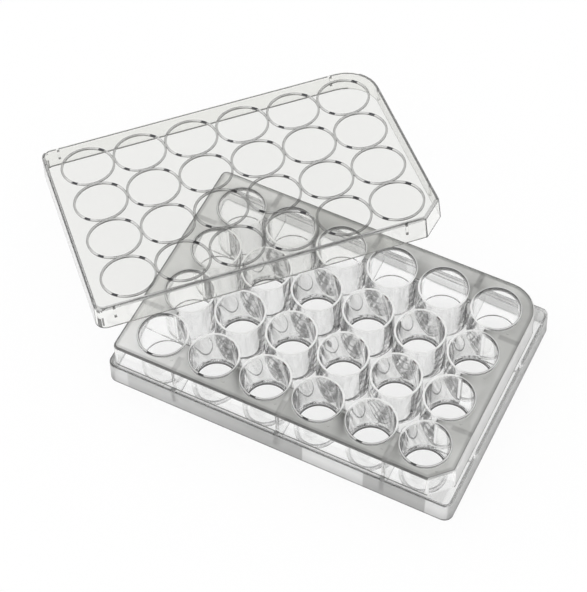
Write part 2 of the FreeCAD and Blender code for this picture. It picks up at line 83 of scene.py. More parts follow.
class PlateSizes(bpy.types.PropertyGroup):
    """The plate, from its footprint to its rims."""

    plate_length: length("Length", "Footprint along X", 127.76)
    plate_width: length("Width", "Footprint along Y", 85.48)
    plate_height: length("Height", "From the table to the rims", 20.2)
    foot_radius: length("Foot Radius", "Upright corners of the skirt", 3.2)
    skirt_height: length("Skirt Height", "From the table to the ledge", 9.1)
    skirt_wall: length("Skirt Wall", "Thickness of the skirt", 1.2)
    skirt_draft: length("Skirt Draft", "How far the skirt leans in by its top", 0.35)
    ledge_thickness: length("Ledge Thickness", "Ledge on top of the skirt", 1.2)
    ledge_radius: length("Ledge Radius", "Rounding of the ledge's outer edge", 0.4)
    wall_inset_x: length("Wall Inset X", "From the footprint's ends to the upper wall", 2.2)
    wall_inset_y: length("Wall Inset Y", "From the footprint's sides to the upper wall", 1.6)
    wall_thickness: length("Wall Thickness", "Upper wall", 1.0)
    wall_draft: length("Wall Draft", "How far the upper wall leans in by the deck", 0.35)
    deck_thickness: length("Deck Thickness", "Deck round the outer wells", 1.2)
    lip_radius: length("Lip Radius", "Rounding of the deck's outer edge", 0.7)
    small_radius: length("Small Radius", "Left corners of the upper wall", 2.4)
    large_radius: length("Large Radius", "Back right corner of the upper wall", 11.8)
    corner_cut: length("Corner Cut", "Legs of the cut across the front right corner", 7.0)
    columns: bpy.props.IntProperty(name="Columns", description="Wells along X", default=6, min=2, max=12)
    rows: bpy.props.IntProperty(name="Rows", description="Wells along Y", default=4, min=2, max=8)
    pitch: length("Pitch", "Between the axes of neighbouring wells", 19.3)
    grid_shift_x: length("Grid Shift X", "Middle of the wells from the middle of the plate", 0.4)
    grid_shift_y: length("Grid Shift Y", "Middle of the wells from the middle of the plate", -0.5)
    well_radius: length("Well Radius", "Inside of a well at its rim", 8.17)
    well_draft: length("Well Draft", "How much narrower a well is at its floor", 0.25)
    well_wall: length("Well Wall", "Thickness of a well's wall", 0.68)
    well_depth: length("Well Depth", "From the rim to the well's floor", 17.0)
    well_floor: length("Well Floor", "Thickness of a well's floor", 1.2)
    well_corner: length("Well Corner", "Rounding between wall and floor", 0.8)
    rim_rise: length("Rim Rise", "Rims above the deck", 0.9)
    rim_round: length("Rim Round", "Rounding of a rim's two edges", 0.2)
    web_thickness: length("Web Thickness", "Upright webs between the outermost wells", 1.0)
    pocket_inset: length("Pocket Inset", "How far inside the wells' outsides the pockets' walls start", 0.1)
    pocket_lean: length("Pocket Lean", "How far the pockets' walls lean in by their foot", 0.8)
    pan_height: length("Pan Height", "Underside of the floor between the wells", 3.0)
    pan_thickness: length("Pan Thickness", "Thickness of that floor", 1.2)
    pad_radius: length("Pad Radius", "Round ejector pads on that floor", 2.75)
    pad_bevel: length("Pad Bevel", "How far a pad's sides slope in", 0.25)
    pad_rise: length("Pad Rise", "How far the ejector pads stand up", 0.3)
    gate_radius: length("Gate Radius", "Stub of the moulding gate under the middle", 0.8)
    gate_length: length("Gate Length", "How far the gate stub hangs down", 0.5)
    rib_thickness: length("Rib Thickness", "Ribs from the upper wall to the wells", 1.4)
    rib_foot: length("Rib Foot", "Underside of the ribs above the table", 2.4)
    dot_radius: length("Dot Radius", "Raised dots on the deck beside outer wells", 0.55)
    dot_rise: length("Dot Rise", "How far the dots stand up", 0.15)
    dot_offset: length("Dot Offset", "Dots from a well's axis, along X and against Y", 7.15)
    segments: bpy.props.IntProperty(
        name="Segments", description="Facets round a well", default=80, min=16, max=128
    )


class LidSizes(bpy.types.PropertyGroup):
    """The lid, and where it leans."""

    clearance: length("Clearance", "Closed lid to the deck's edge", 0.2)
    wall: length("Wall", "Thickness of the lid's skirt", 0.9)
    draft: length("Draft", "How far the lid's skirt leans in by its top", 0.45)
    depth: length("Depth", "Outside height of the lid", 9.1)
    top: length("Top", "Thickness of the lid's top", 1.2)
    edge_radius: length("Edge Radius", "Rounding of the lid's top edge", 1.1)
    ring_gap: length("Ring Gap", "Condensation ring outside the rim it surrounds", 0.14)
    ring_width: length("Ring Width", "Thickness of a condensation ring", 0.8)
    ring_height: length("Ring Height", "How far a ring hangs below the top", 0.6)
    guide_width: length("Guide Width", "Guides inside the skirt, along it", 0.9)
    guide_reach: length("Guide Reach", "How far the guides stand in", 0.25)
    guide_length: length("Guide Length", "How far the guides run down", 4.6)
    guide_left_x: length("Guides Left X", "Long sides, left pair", -56.0)
    guide_right_x: length("Guides Right X", "Long sides, right pair", 47.9)
    guide_left_y: length("Guides Left Y", "Left end, either way", 35.1)
    guide_right_y: length("Guides Right Y", "Right end, either way", 27.0)
    yaw: turn("Yaw", "The lid's long side, turned from X", 44.67)
    shift_x: length("Shift X", "Middle of the lid's foot from the plate's middle", -53.0)
    shift_y: length("Shift Y", "Middle of the lid's foot from the plate's middle", 36.35)
    rest_gap: length("Rest Gap", "Left between the lid and what it rests on", 0.02)


class PlasticFinish(bpy.types.PropertyGroup):
    """Colour and polish of the clear mouldings, and the painted light and painted shade on them."""

    clear: colour("Clear", "What the plate's polished faces let through", 0.99, 0.991, 0.988)
    # Lid Clear is partly the lid's own warm tint and partly painted shade, standing in for the shadow under
    # the lid.
    lid_clear: colour("Lid Clear", "What the lid's polished faces let through", 0.935, 0.936, 0.917)
    pan: colour("Pan", "What the floor between the wells lets through", 0.78, 0.781, 0.775)
    frosted: colour("Frosted", "What the frosted deck lets through at its left end", 0.92, 0.92, 0.9)
    frosted_dark: colour("Frosted Dark", "What the frosted deck lets through elsewhere", 0.4, 0.402, 0.38)
    skirt: colour("Skirt", "What the skirt's plain lengths let through", 0.56, 0.56, 0.555)
    panel: colour("Panel", "What the skirt's frosted panels let through at the left", 0.42, 0.42, 0.415)
    panel_dark: colour("Panel Dark", "What frosted panels let through at the right", 0.27, 0.27, 0.265)
    # Painted shade: the plate's rounded edges, the lid's foot and the ends of its guides are painted nearly
    # black, standing in for the dark surroundings that they refract.
    edge: colour("Edge", "What rounded edges let through", 0.05, 0.05, 0.048)
    # Painted shade: tight inside corners, the rounding round the wells' floors, the wells' tops beside the
    # deck, the ledge's front edge and the dark streaks on the walls are painted nearly black.
    corner: colour("Corner", "What tight inside corners let through", 0.07, 0.07, 0.07)
    # Painted highlight: the wells' rims, the upper wall's ends and the lid's far edge are painted near white.
    rim: colour("Rim", "The bright rims of the wells", 0.95, 0.95, 0.94)
    # Painted light: the pale colour painted on a wall where light is caught inside it.
    skin: colour("Skin", "The wells' walls where light is caught inside them", 0.78, 0.78, 0.775)
    refraction: bpy.props.FloatProperty(
        name="Refraction", description="Index of refraction of the plastic", default=1.59, min=1.0, max=2.5
    )


class Studio(bpy.types.PropertyGroup):
    """Floor, lights and camera."""

    aim: bpy.props.FloatVectorProperty(
        name="Aim",
        description="The point that the camera looks at",
        default=(-18.34 * MM, 9.13 * MM, 10.0 * MM),
        size=3,
        precision=5,
        subtype="XYZ",
        unit="LENGTH",
    )
    distance: length("Distance", "From the camera to its aim", 685.1)
    azimuth: turn("Azimuth", "Round from the front towards the right", 28.2)
    elevation: turn("Elevation", "Camera above the level", 56.4)
    roll: turn("Roll", "Clockwise turn of the camera about its line of sight", 2.12)
    lens: bpy.props.FloatProperty(
        name="Lens", description="Focal length in millimetres", default=121.72, unit="CAMERA"
    )
    floor_size: length("Floor Size", "Side of the square floor", 1800.0)


# ---------------------------------------------------------------- outlines and solids


def rounded(corners, steps=8):
    """Points round a convex polygon of (x, y, radius) corners, given counter-clockwise."""
    points = []
    count = len(corners)
    for index, (x, y, radius) in enumerate(corners):
        here = Vector((x, y))
        before = (Vector(corners[index - 1][:2]) - here).normalized()
        after = (Vector(corners[(index + 1) % count][:2]) - here).normalized()
        half = before.angle(after) / 2
        centre = here + (before + after).normalized() * (radius / math.sin(half))
        straight = radius / math.tan(half)
        start, end = here + before * straight - centre, here + after * straight - centre
        first = math.atan2(start.y, start.x)
        sweep = (math.atan2(end.y, end.x) - first) % (2 * math.pi)
        for step in range(steps + 1):
            angle = first + sweep * step / steps
            points.append((centre.x + radius * math.cos(angle), centre.y + radius * math.sin(angle)))
    return points


def keyed_outline(half_x, half_y, small, large, cut, edge=0.8 * MM):
    """The outline of the upper wall and of the lid: a cut front right corner and a large back right one."""
    return rounded(
        [
            (-half_x, -half_y, small),
            (half_x - cut, -half_y, edge),
            (half_x, -half_y + cut, edge),
            (half_x, half_y, large),
            (-half_x, half_y, small),
        ]
    )


def solid_from_rings(name, rings):
    """A closed solid through rings of points, lowest first: [([(x, y), ...], z), ...]."""
    count = len(rings[0][0])
    vertices = [(x, y, z) for points, z in rings for x, y in points]
    faces = []
    for level in range(len(rings) - 1):
        low, high = level * count, (level + 1) * count
        for here in range(count):
            after = (here + 1) % count
            faces.append((low + here, low + after, high + after, high + here))
    faces.append(tuple(reversed(range(count))))
    faces.append(tuple(range((len(rings) - 1) * count, len(rings) * count)))
    mesh = bpy.data.meshes.new(name)
    mesh.from_pydata(vertices, [], faces)
    mesh.validate()
    piece = bpy.data.objects.new(name, mesh)
    bpy.context.collection.objects.link(piece)
    return piece


def turned(name, profile, segments):
    """A closed solid of revolution about Z from (radius, z) points, lowest first, none on the axis."""
    angles = [2 * math.pi * step / segments for step in range(segments)]
    return solid_from_rings(
        name, [([(r * math.cos(a), r * math.sin(a)) for a in angles], z) for r, z in profile]
    )


def block(name, low, high):
    """A closed box between two corners."""
    (x0, y0, z0), (x1, y1, z1) = low, high
    outline = [(x0, y0), (x1, y0), (x1, y1), (x0, y1)]
    return solid_from_rings(name, [(outline, z0), (outline, z1)])


def quarter(radius, steps=5):
    """(in, up) along a quarter round, from straight up to straight in."""
    angles = [math.pi / 2 * step / steps for step in range(steps + 1)]
    return [(radius * (1 - math.cos(a)), radius * math.sin(a)) for a in angles]


def grid_tree():
    """Geometry nodes that repeat what they are given over rows and columns."""
    tree = bpy.data.node_groups.new("rows and columns", "GeometryNodeTree")
    tree.is_modifier = True
    kinds = {"Geometry": "Geometry", "Columns": "Int", "Rows": "Int", "Pitch X": "Float", "Pitch Y": "Float"}
    kinds.update({"Middle": "Vector", "Material": "Material"})
    for name, kind in kinds.items():
        tree.interface.new_socket(name, in_out="INPUT", socket_type="NodeSocket" + kind)
    tree.interface.new_socket("Geometry", in_out="OUTPUT", socket_type="NodeSocketGeometry")
    given = add_node(tree, "NodeGroupInput").outputs
    columns, rows = Value(tree, given["Columns"]), Value(tree, given["Rows"])
    index = value_of(tree, "GeometryNodeInputIndex")
    row = index.made("FLOOR", (index + 0.5) / columns)
    column = index - row * columns
    along = (column - (columns - 1) / 2) * Value(tree, given["Pitch X"])
    across = (row - (rows - 1) / 2) * Value(tree, given["Pitch Y"])
    place = value_of(tree, "ShaderNodeCombineXYZ", {0: along, 1: across})
    place = value_of(tree, "ShaderNodeVectorMath", {0: place, 1: given["Middle"]}, operation="ADD")
    points = value_of(tree, "GeometryNodePoints", {"Count": columns * rows, "Position": place})
    copies = {"Points": points, "Instance": given["Geometry"]}
    copies = value_of(tree, "GeometryNodeInstanceOnPoints", copies)
    real = value_of(tree, "GeometryNodeRealizeInstances", {0: copies})
    real = value_of(tree, "GeometryNodeSetMaterial", {"Geometry": real, "Material": given["Material"]})
    add_node(tree, "NodeGroupOutput", {0: real})
    return tree


def made_plain(piece):
    """Turn a piece and its live modifiers into a plain mesh."""
    graph = bpy.context.evaluated_depsgraph_get()
    graph.update()
    mesh = bpy.data.meshes.new_from_object(
        piece.evaluated_get(graph), preserve_all_data_layers=True, depsgraph=graph
    )
    piece.modifiers.clear()
    piece.data = mesh
    return piece


def repeated(piece, columns, rows, pitch_x, pitch_y, middle, material):
    """Repeat a solid over rows and columns with geometry nodes."""
    tree = bpy.data.node_groups.get("rows and columns") or grid_tree()
    modifier = piece.modifiers.new("rows and columns", "NODES")
    modifier.node_group = tree
    sockets = {item.name: item.identifier for item in tree.interface.items_tree if item.in_out == "INPUT"}
    values = {"Columns": columns, "Rows": rows, "Pitch X": pitch_x, "Pitch Y": pitch_y}
    for name, value in values.items():
        modifier[sockets[name]] = value
    modifier[sockets["Middle"]] = (*middle, 0.0)
    modifier[sockets["Material"]] = material
    return made_plain(piece)


def combined(base, steps):
    """Apply solids to a base one after another: [("UNION", "DIFFERENCE" or "INTERSECT", solid), ...]."""
    for number, (operation, operand) in enumerate(steps):
        modifier = base.modifiers.new("step %d" % number, "BOOLEAN")
        modifier.operation = operation
        modifier.solver = "MANIFOLD"
        modifier.object = operand
    made_plain(base)
    for _, operand in steps:
        mesh = operand.data
        bpy.data.objects.remove(operand)
        bpy.data.meshes.remove(mesh)
    return base


def smoothed(piece, angle):
    """Shade smooth except at edges sharper than an angle, with flat faces kept flat beside roundings."""
    mesh = piece.data
    mesh.polygons.foreach_set("use_smooth", [True] * len(mesh.polygons))
    mesh.set_sharp_from_angle(angle=angle)
    modifier = piece.modifiers.new("face weighted normals", "WEIGHTED_NORMAL")
    modifier.keep_sharp = True
    modifier.weight = 90
    return made_plain(piece)


# ---------------------------------------------------------------- nodes


def fed(tree, socket, value):
    """Give a node's input a plain value, a colour, or what another node makes."""
    value = getattr(value, "socket", value)
    if isinstance(value, bpy.types.NodeSocket):
        tree.links.new(value, socket)
    elif socket.type == "RGBA":
        socket.default_value = (*value, 1.0)
    else:
        socket.default_value = value


def add_node(tree, kind, inputs=(), **settings):
    """A new node with its settings, and its inputs by name or number."""
    node = tree.nodes.new(kind)
    for name, value in settings.items():
        setattr(node, name, value)
    for name, value in dict(inputs).items():
        fed(tree, node.inputs[name], value)
    return node


def fresh_tree(owner):
    """The node tree of a new material or world, emptied."""
    owner.use_nodes = True
    owner.node_tree.nodes.clear()
    return owner.node_tree


class Value:
    """What a node makes. Arithmetic on it adds further nodes."""

    def __init__(self, tree, socket):
        self.tree, self.socket = tree, socket

    def made(self, operation, *values):
        return value_of(self.tree, "ShaderNodeMath", dict(enumerate(values)), operation=operation)

    def __add__(self, other):
        return self.made("ADD", self, other)

    def __sub__(self, other):
        return self.made("SUBTRACT", self, other)

    def __rsub__(self, other):
        return self.made("SUBTRACT", other, self)

    def __mul__(self, other):
        return self.made("MULTIPLY", self, other)

    def __truediv__(self, other):
        return self.made("DIVIDE", self, other)

    def __abs__(self):
        return self.made("ABSOLUTE", self)

    def most(self, other):
        return self.made("MAXIMUM", self, other)

    def least(self, other):
        return self.made("MINIMUM", self, other)


def value_of(tree, kind, inputs=(), output=0, **settings):
    """What a new node makes, as a value."""
    return Value(tree, add_node(tree, kind, inputs, **settings).outputs[output])


def hypotenuse(first, second):
    """The length of two values at right angles."""
    return first.made("SQRT", first * first + second * second)


def ray(tree, kind):
    """One for rays of a kind, nought for others."""
    return value_of(tree, "ShaderNodeLightPath", output="Is %s Ray" % kind)


class Pattern:
    """Masks and mixes inside one material or world."""

    def __init__(self, tree, coordinates="Object"):
        self.tree = tree
        self.place = value_of(tree, "ShaderNodeTexCoord", output=coordinates)
        self.x, self.y, self.z = self.parts(self.place)

    def parts(self, vector):
        """The three parts of a vector."""
        split = add_node(self.tree, "ShaderNodeSeparateXYZ", {0: vector})
        return [Value(self.tree, socket) for socket in split.outputs]

    def offset(self, value, centre, period):
        """How far a coordinate is from the nearest of a row of places."""
        return value.made("WRAP", value - centre, period / 2, -period / 2)

    def ramp(self, value, start, end, low=0.0, high=1.0):
        """A soft step between two values."""
        inputs = {"Value": value, "From Min": start, "From Max": end, "To Min": low, "To Max": high}
        return value_of(self.tree, "ShaderNodeMapRange", inputs, interpolation_type="SMOOTHSTEP")

    def between(self, value, low, high, soft):
        """One inside a range and nought outside it, with soft ends."""
        return self.ramp(value, low - soft, low + soft) * self.ramp(value, high + soft, high - soft)

    def cloud(self, scale, detail, stretch=(1.0, 1.0, 1.0), place=None):
        """Noise from nought to one, its cells 1 / scale metres across."""
        mapping = add_node(self.tree, "ShaderNodeMapping", {"Vector": place or self.place, "Scale": stretch})
        inputs = {"Vector": mapping.outputs[0], "Scale": scale, "Detail": detail}
        return value_of(self.tree, "ShaderNodeTexNoise", inputs, "Fac")

    def mixed(self, factor, first, second):
        """A colour between two colours."""
        node = add_node(self.tree, "ShaderNodeMix", data_type="RGBA")
        colours = [socket for socket in node.inputs if socket.type == "RGBA"]
        for socket, value in zip((node.inputs[0], *colours), (factor, first, second)):
            fed(self.tree, socket, value)
        return Value(self.tree, [socket for socket in node.outputs if socket.type == "RGBA"][0])

    def shaded(self, colour, factor):
        """A colour made darker by a factor."""
        return value_of(self.tree, "ShaderNodeVectorMath", {0: colour, "Scale": factor}, operation="SCALE")

    def from_inside(self):
        """One where light meets a face from inside the plastic."""
        return value_of(self.tree, "ShaderNodeNewGeometry", output="Backfacing")

    def facing(self):
        """Nought where a face is met square on, one where it is met edge on."""
        return value_of(self.tree, "ShaderNodeLayerWeight", output="Facing")

    def edge_dimmed(self, colour, left):
        """Painted shade on a face that is seen edge on: more plastic lies behind it, so only part of its
        colour is left there.
        """
        return self.mixed(self.ramp(self.facing(), 0.62, 0.98), colour, [left * part for part in colour])

    def lid_place(self):
        """Coordinates in the lid's own frame, which its mesh keeps from before it leans."""
        own = value_of(self.tree, "ShaderNodeAttribute", output="Vector", attribute_name="lid_place")
        return self.parts(own)

    def beyond_wells(self, sizes):
        """How far out from the axes of the outermost wells."""
        reach_x, reach_y = reach(sizes)
        return (abs(self.x - sizes.grid_shift_x) - reach_x).most(abs(self.y - sizes.grid_shift_y) - reach_y)

    def from_rib(self, sizes):
        """How far from the middle of the nearest rib."""
        rib_x = abs(self.offset(self.x, sizes.grid_shift_x, 2 * sizes.pitch))
        return rib_x.least(abs(self.offset(self.y, sizes.grid_shift_y + sizes.pitch, 2 * sizes.pitch)))

    def arm(self, sizes, x=None, y=None):
        """Offsets of a point from the axis of the nearest well, and their length."""
        reach_x, reach_y = reach(sizes)
        arm_x = self.offset(x or self.x, sizes.grid_shift_x + reach_x, sizes.pitch)
        arm_y = self.offset(y or self.y, sizes.grid_shift_y + reach_y, sizes.pitch)
        return arm_x, arm_y, hypotenuse(arm_x, arm_y)


# ---------------------------------------------------------------- materials


# What is left of a colour on a clear face that is seen edge on, which is painted shade.
EDGE_ON = 0.45
# Layer Weight's Facing from which light in the plastic is totally reflected, and where it all is.
CAUGHT_FROM, CAUGHT_FULL = 0.222, 0.24
# Where the two frosted panels start and stop along the skirt's sides.
PANELS = ((-55.6 * MM, 10.4 * MM), (32.6 * MM, 54.9 * MM))
# Spacing of the level stripes painted on the pockets' walls.
PAINTED_STRIPE_GAP = 3.0 * MM
# The painted dark reflection at the back of a well's top: its bearing from the well's axis, and its colour.
DARK_REFLECTION_BEARING = math.radians(66)
DARK_REFLECTION_COLOUR = (0.02, 0.008, 0.008)
# Painted dark reflections on the lid's condensation rings.
PAINTED_GLINT_COLOUR = (0.002, 0.002, 0.003)


def clear_plastic(name, finish, colour, roughness=0.0, look=None, given=(), body=1.0, edge_on=EDGE_ON):
    """Clear plastic.

    look(pattern, finish, *given) may return the "colour" that it lets through, its "rough" (roughness), its
    "height" for bumps and its "clearness". body is the clearness otherwise, and edge_on is what is left of a
    plain colour on a face that is seen edge on.
    """
    material = bpy.data.materials.new(name)
    tree = fresh_tree(material)
    pattern = Pattern(tree)
    made = look(pattern, finish, *given) if look else {"colour": pattern.edge_dimmed(colour, edge_on)}
    # Faint flow and handling marks in the polish.
    flow = pattern.cloud(90.0, 3.0) * 0.03
    inputs = {
        "Base Color": made["colour"],
        "Roughness": flow + made.get("rough", roughness),
        "IOR": finish.refraction,
        "Transmission Weight": made.get("clearness", body),
    }
    if "height" in made:
        bump = {"Strength": 1.0, "Distance": 0.3 * MM, "Height": made["height"]}
        inputs["Normal"] = value_of(tree, "ShaderNodeBump", bump)
    plastic = value_of(tree, "ShaderNodeBsdfPrincipled", inputs)
    # Light reaches what is behind the plastic.
    light = value_of(tree, "ShaderNodeBsdfTransparent", {0: (0.99, 0.99, 0.99)})
    lit = ray(tree, "Shadow").most(ray(tree, "Diffuse"))
    mix = value_of(tree, "ShaderNodeMixShader", {0: lit, 1: plastic, 2: light})
    add_node(tree, "ShaderNodeOutputMaterial", {0: mix})
    return material


def deck_look(pattern, finish, sizes):
    """Mottled frosting, with painted shade over the ribs, between neighbouring wells and along the lip, and
    painted light near the cut corner.
    """
    ramp, x, y = pattern.ramp, pattern.x, pattern.y
    half_x, half_y = deck_half(sizes)
    radius = sizes.large_radius - sizes.wall_draft
    out = pattern.beyond_wells(sizes)
    # How far in from the cut corner, and from the deck's edge.
    across = ((half_x + half_y - sizes.corner_cut) - (x - y)) * math.sqrt(0.5)
    arm = hypotenuse((x - (half_x - radius)).most(0.0), (y - (half_y - radius)).most(0.0))
    inward = (half_x - abs(x)).least(half_y - abs(y)).least(across.least(radius - arm))
    # Painted shade over the ribs, near the outermost wells and along the lip; painted light near the cut
    # corner.
    over_rib = ramp(pattern.from_rib(sizes), 1.4 * MM, 0.5 * MM) * ramp(out, 4.5 * MM, 5.5 * MM)
    shade = (1.0 - over_rib * 0.5) * ramp(out, 0.0, 7.0 * MM, 0.45, 1.0)
    shade = shade * ramp(inward, 1.0 * MM, 2.1 * MM, 0.5, 1.0) * ramp(across, 13 * MM, 5 * MM, 1.0, 1.4)
    mottle = pattern.cloud(75.0, 6.0) * 1.1 + 0.45
    tone = pattern.mixed(ramp(x, -66 * MM, -14 * MM), finish.frosted, finish.frosted_dark)
    grain = pattern.cloud(2500.0, 2.0) * 0.1 + 0.38
    return {"colour": pattern.shaded(tone, shade * mottle), "rough": grain}


def skirt_look(pattern, finish, sizes):
    """Frosted panels along the skirt, with painted shade darkening it towards its two edges."""
    ramp, x, z = pattern.ramp, pattern.x, pattern.z
    end = sizes.plate_length / 2
    panel = right_end = ramp(x, end - 1.5 * MM, end - 1.0 * MM)
    for start, stop in PANELS:
        panel = panel.most(pattern.between(x, start, stop, 0.25 * MM))
    darker = ramp(x, -50 * MM, 0.0) * (1.0 - right_end)
    tone = pattern.mixed(panel, finish.skirt, pattern.mixed(darker, finish.panel, finish.panel_dark))
    # Painted shade: darker towards the foot, a dark line along the foot, and darker just under the ledge.
    shade = ramp(z, 0.5 * MM, 6.0 * MM, 0.7, 1.1) * ramp(z, 0.35 * MM, 0.9 * MM, 0.15, 1.0)
    shade = shade * ramp(z, 9.0 * MM, 8.2 * MM, 0.6, 1.0) * (pattern.cloud(120.0, 4.0) * 0.24 + 0.88)
    return {"colour": pattern.shaded(tone, shade), "rough": panel * 0.15 + 0.3}


def rim_look(pattern, finish, sizes):
    """Rims painted white beside the pockets, a painted highlight; beside the deck they are greyer between two
    painted dark lines.
    """
    ramp = pattern.ramp
    top_radius = sizes.well_radius + sizes.well_wall
    arm_x, _, arm = pattern.arm(sizes)
    inner = ramp(arm, sizes.well_radius + 0.1 * MM, sizes.well_radius + 0.25 * MM, 0.05, 1.0)
    outer = ramp(arm, top_radius - 0.08 * MM, top_radius - 0.18 * MM, 0.3, 1.0)
    beside_deck = ramp(pattern.beyond_wells(sizes), -1.5 * MM, 1.5 * MM)
    # A painted dark reflection at the front of each well of the first row.
    front = sizes.grid_shift_y - reach(sizes)[1] - sizes.well_radius
    front_row = ramp(pattern.y, front + 0.3 * MM, front + 0.1 * MM)
    mark = front_row * ramp(abs(arm_x + 0.4 * MM), 1.2 * MM, 0.9 * MM)
    shade = (beside_deck * (inner * outer * 0.75 - 1.0) + 1.0) * (1.0 - mark * 0.98)
    return {"colour": pattern.shaded(finish.rim, shade)}


def pan_look(pattern, finish):
    """The floor between the wells: faint swirls where the plastic ran out from the gate."""
    swirl = pattern.ramp(pattern.cloud(260.0, 4.0), 0.35, 0.65, 0.9, 1.06)
    return {"colour": pattern.shaded(finish.pan, swirl)}


def ledge_edge_look(pattern, finish, sizes):
    """The ledge's rounding: painted shade along the front, painted light at the right end."""
    end = sizes.plate_length / 2
    right = pattern.ramp(pattern.x, end - 2.5 * MM, end - 1.5 * MM)
    return {"colour": pattern.mixed(right, finish.corner, finish.pan), "rough": right * 0.3}


def ledge_look(pattern, finish, sizes):
    """The ledge round the skirt: painted light at the right end, elsewhere painted shade where a rib stands
    under it.
    """
    end = sizes.plate_length / 2
    rib = pattern.from_rib(sizes)
    right = pattern.ramp(pattern.x, end - 4.0 * MM, end - 3.0 * MM)
    shade = pattern.ramp(rib, 0.7 * MM, 1.2 * MM, 0.15, 1.0).most(right)
    plain = pattern.mixed(right, finish.skirt, finish.pan)
    return {"colour": pattern.shaded(plain, shade), "rough": pattern.ramp(rib, 0.9 * MM, 1.3 * MM, 0.3, 0.15)}


def ring_look(pattern, finish, plate, lid):
    """Condensation rings painted as grey lines, a painted shade that fades front and back, with two short
    painted dark glints where it does.
    """
    x, y, _ = pattern.lid_place()
    arm_x, arm_y, arm = pattern.arm(plate, x, y)
    along = abs((arm_x * math.sin(lid.yaw) + arm_y * math.cos(lid.yaw)) / arm)
    tone = pattern.mixed(pattern.ramp(along, 0.8, 0.98), finish.panel_dark, finish.skirt)
    return {"colour": pattern.mixed(pattern.ramp(along, 0.991, 0.994), tone, PAINTED_GLINT_COLOUR)}


def guide_look(pattern, finish, lid):
    """Guides show only at their ends, where they are painted dark: painted shade."""
    z = pattern.lid_place()[2]
    under = lid.depth - lid.top
    foot = under - lid.guide_length
    tip = pattern.ramp(z, foot + 1.2 * MM, foot + 0.8 * MM)
    root = pattern.ramp(z, under - 1.2 * MM, under - 0.8 * MM)
    return {"colour": pattern.mixed(tip.most(root), finish.lid_clear, finish.edge)}


def caught_light(pattern, finish, sizes, made):
    """Painted light where a wall catches light from inside: pale, with leaning painted dark streaks, over the
    colour made elsewhere.
    """
    arm_x, arm_y, _ = pattern.arm(sizes)
    round_wall = arm_y.made("ARCTAN2", arm_y, arm_x) * (sizes.well_radius + sizes.well_wall)
    # Each well has lines of its own.
    own = (pattern.y - arm_y) * 1.7 + (pattern.x - arm_x)
    run = [pattern.z * -0.3 + round_wall, own, pattern.z * 0.07]
    place = value_of(pattern.tree, "ShaderNodeCombineXYZ", dict(enumerate(run)))
    facing = pattern.facing()
    lines = pattern.ramp(pattern.cloud(720.0, 2.0, place=place), 0.43, 0.5)
    lines = lines * pattern.ramp(facing, 0.5, 0.3, 0.35, 1.0)
    # Painted light and shade: where light meets a wall from inside at a grazing angle, the wall is painted
    # pale with dark streaks, and made nearly opaque.
    caught = pattern.from_inside() * pattern.ramp(facing, CAUGHT_FROM, CAUGHT_FULL)
    skin = pattern.mixed(lines, finish.skin, finish.corner)
    return {"colour": pattern.mixed(caught, made, skin), "clearness": 1.0 - caught * 0.95}


def well_wall_look(pattern, finish, sizes):
    """The insides of the wells: painted shade where seen edge on, and painted caught light."""
    return caught_light(pattern, finish, sizes, pattern.edge_dimmed(finish.clear, EDGE_ON))


def pocket_look(pattern, finish, sizes):
    """Level stripes low on the pockets' walls, bumped, and painted dark where the walls are seen nearly edge
    on: painted shade.
    """
    ramp, cloud, z = pattern.ramp, pattern.cloud, pattern.z
    pan_top = sizes.pan_height + sizes.pan_thickness
    deck_top = sizes.plate_height - sizes.rim_rise
    arm_x, arm_y, arm = pattern.arm(sizes)
    # Sine of the turn away from the nearest neighbour.
    away = abs(arm_x).least(abs(arm_y)) / arm
    shown = ramp(pattern.facing(), 0.5, 0.66) * ramp(z, deck_top, pan_top + 7.0 * MM, 0.2, 1.0)
    phase = z * (2 * math.pi / PAINTED_STRIPE_GAP) + cloud(130.0, 3.0) * 14.0
    marks = ramp(phase.made("SINE", phase), 0.1, 0.45)
    specks = ramp(cloud(800.0, 2.0), 0.56, 0.62) * ramp(away, 0.35, 0.2)
    specks = specks * ramp(z, pan_top + 6.0 * MM, pan_top + 4.0 * MM)
    runs = ramp(cloud(420.0, 2.0, (1.0, 1.0, 0.12)), 0.5, 0.68) * 0.2
    edge_on = ramp(pattern.facing(), 0.7, 0.97) * 0.4
    # All of this is painted shade: the stripes, dark specks near the pinches between wells, dark runs, and
    # faces seen edge on.
    dark = (shown * marks * 0.97).most(specks * 0.95).most(edge_on).most(runs)
    tint = [0.93 * part for part in finish.clear]
    made = caught_light(pattern, finish, sizes, pattern.mixed(dark, tint, finish.corner))
    return {**made, "height": marks * shown * 0.3}


def well_top_look(pattern, finish, sizes):
    """The top of a well's inside: painted shade beside the deck, with a short painted dark reflection at the
    back elsewhere.
    """
    ramp, top = pattern.ramp, sizes.plate_height
    out = pattern.beyond_wells(sizes)
    arm_x, arm_y, _ = pattern.arm(sizes)
    gap_x = abs(arm_x - sizes.well_radius * math.cos(DARK_REFLECTION_BEARING))
    gap_y = abs(arm_y - sizes.well_radius * math.sin(DARK_REFLECTION_BEARING))
    mark = ramp(gap_x.most(gap_y), 1.0 * MM, 0.7 * MM) * ramp(out, 0.0, -1.0 * MM)
    mark = mark * ramp(pattern.z, top - 1.3 * MM, top - 1.1 * MM)
    shade = ramp(out, -1.0 * MM, 2.0 * MM) * ramp(pattern.z, top - WELL_TOP, top - 0.8 * MM)
    toned = pattern.mixed(shade, finish.clear, finish.corner)
    return {"colour": pattern.mixed(mark, toned, DARK_REFLECTION_COLOUR)}


def finish_faces(piece, materials, choose):
    """Give a piece its materials, and each face the one that choose(centre, normal) names."""
    mesh = piece.data
    mesh.materials.clear()
    for material in materials.values():
        mesh.materials.append(material)
    names = list(materials)
    for face in mesh.polygons:
        face.material_index = names.index(choose(face.center, face.normal))


# ---------------------------------------------------------------- pieces


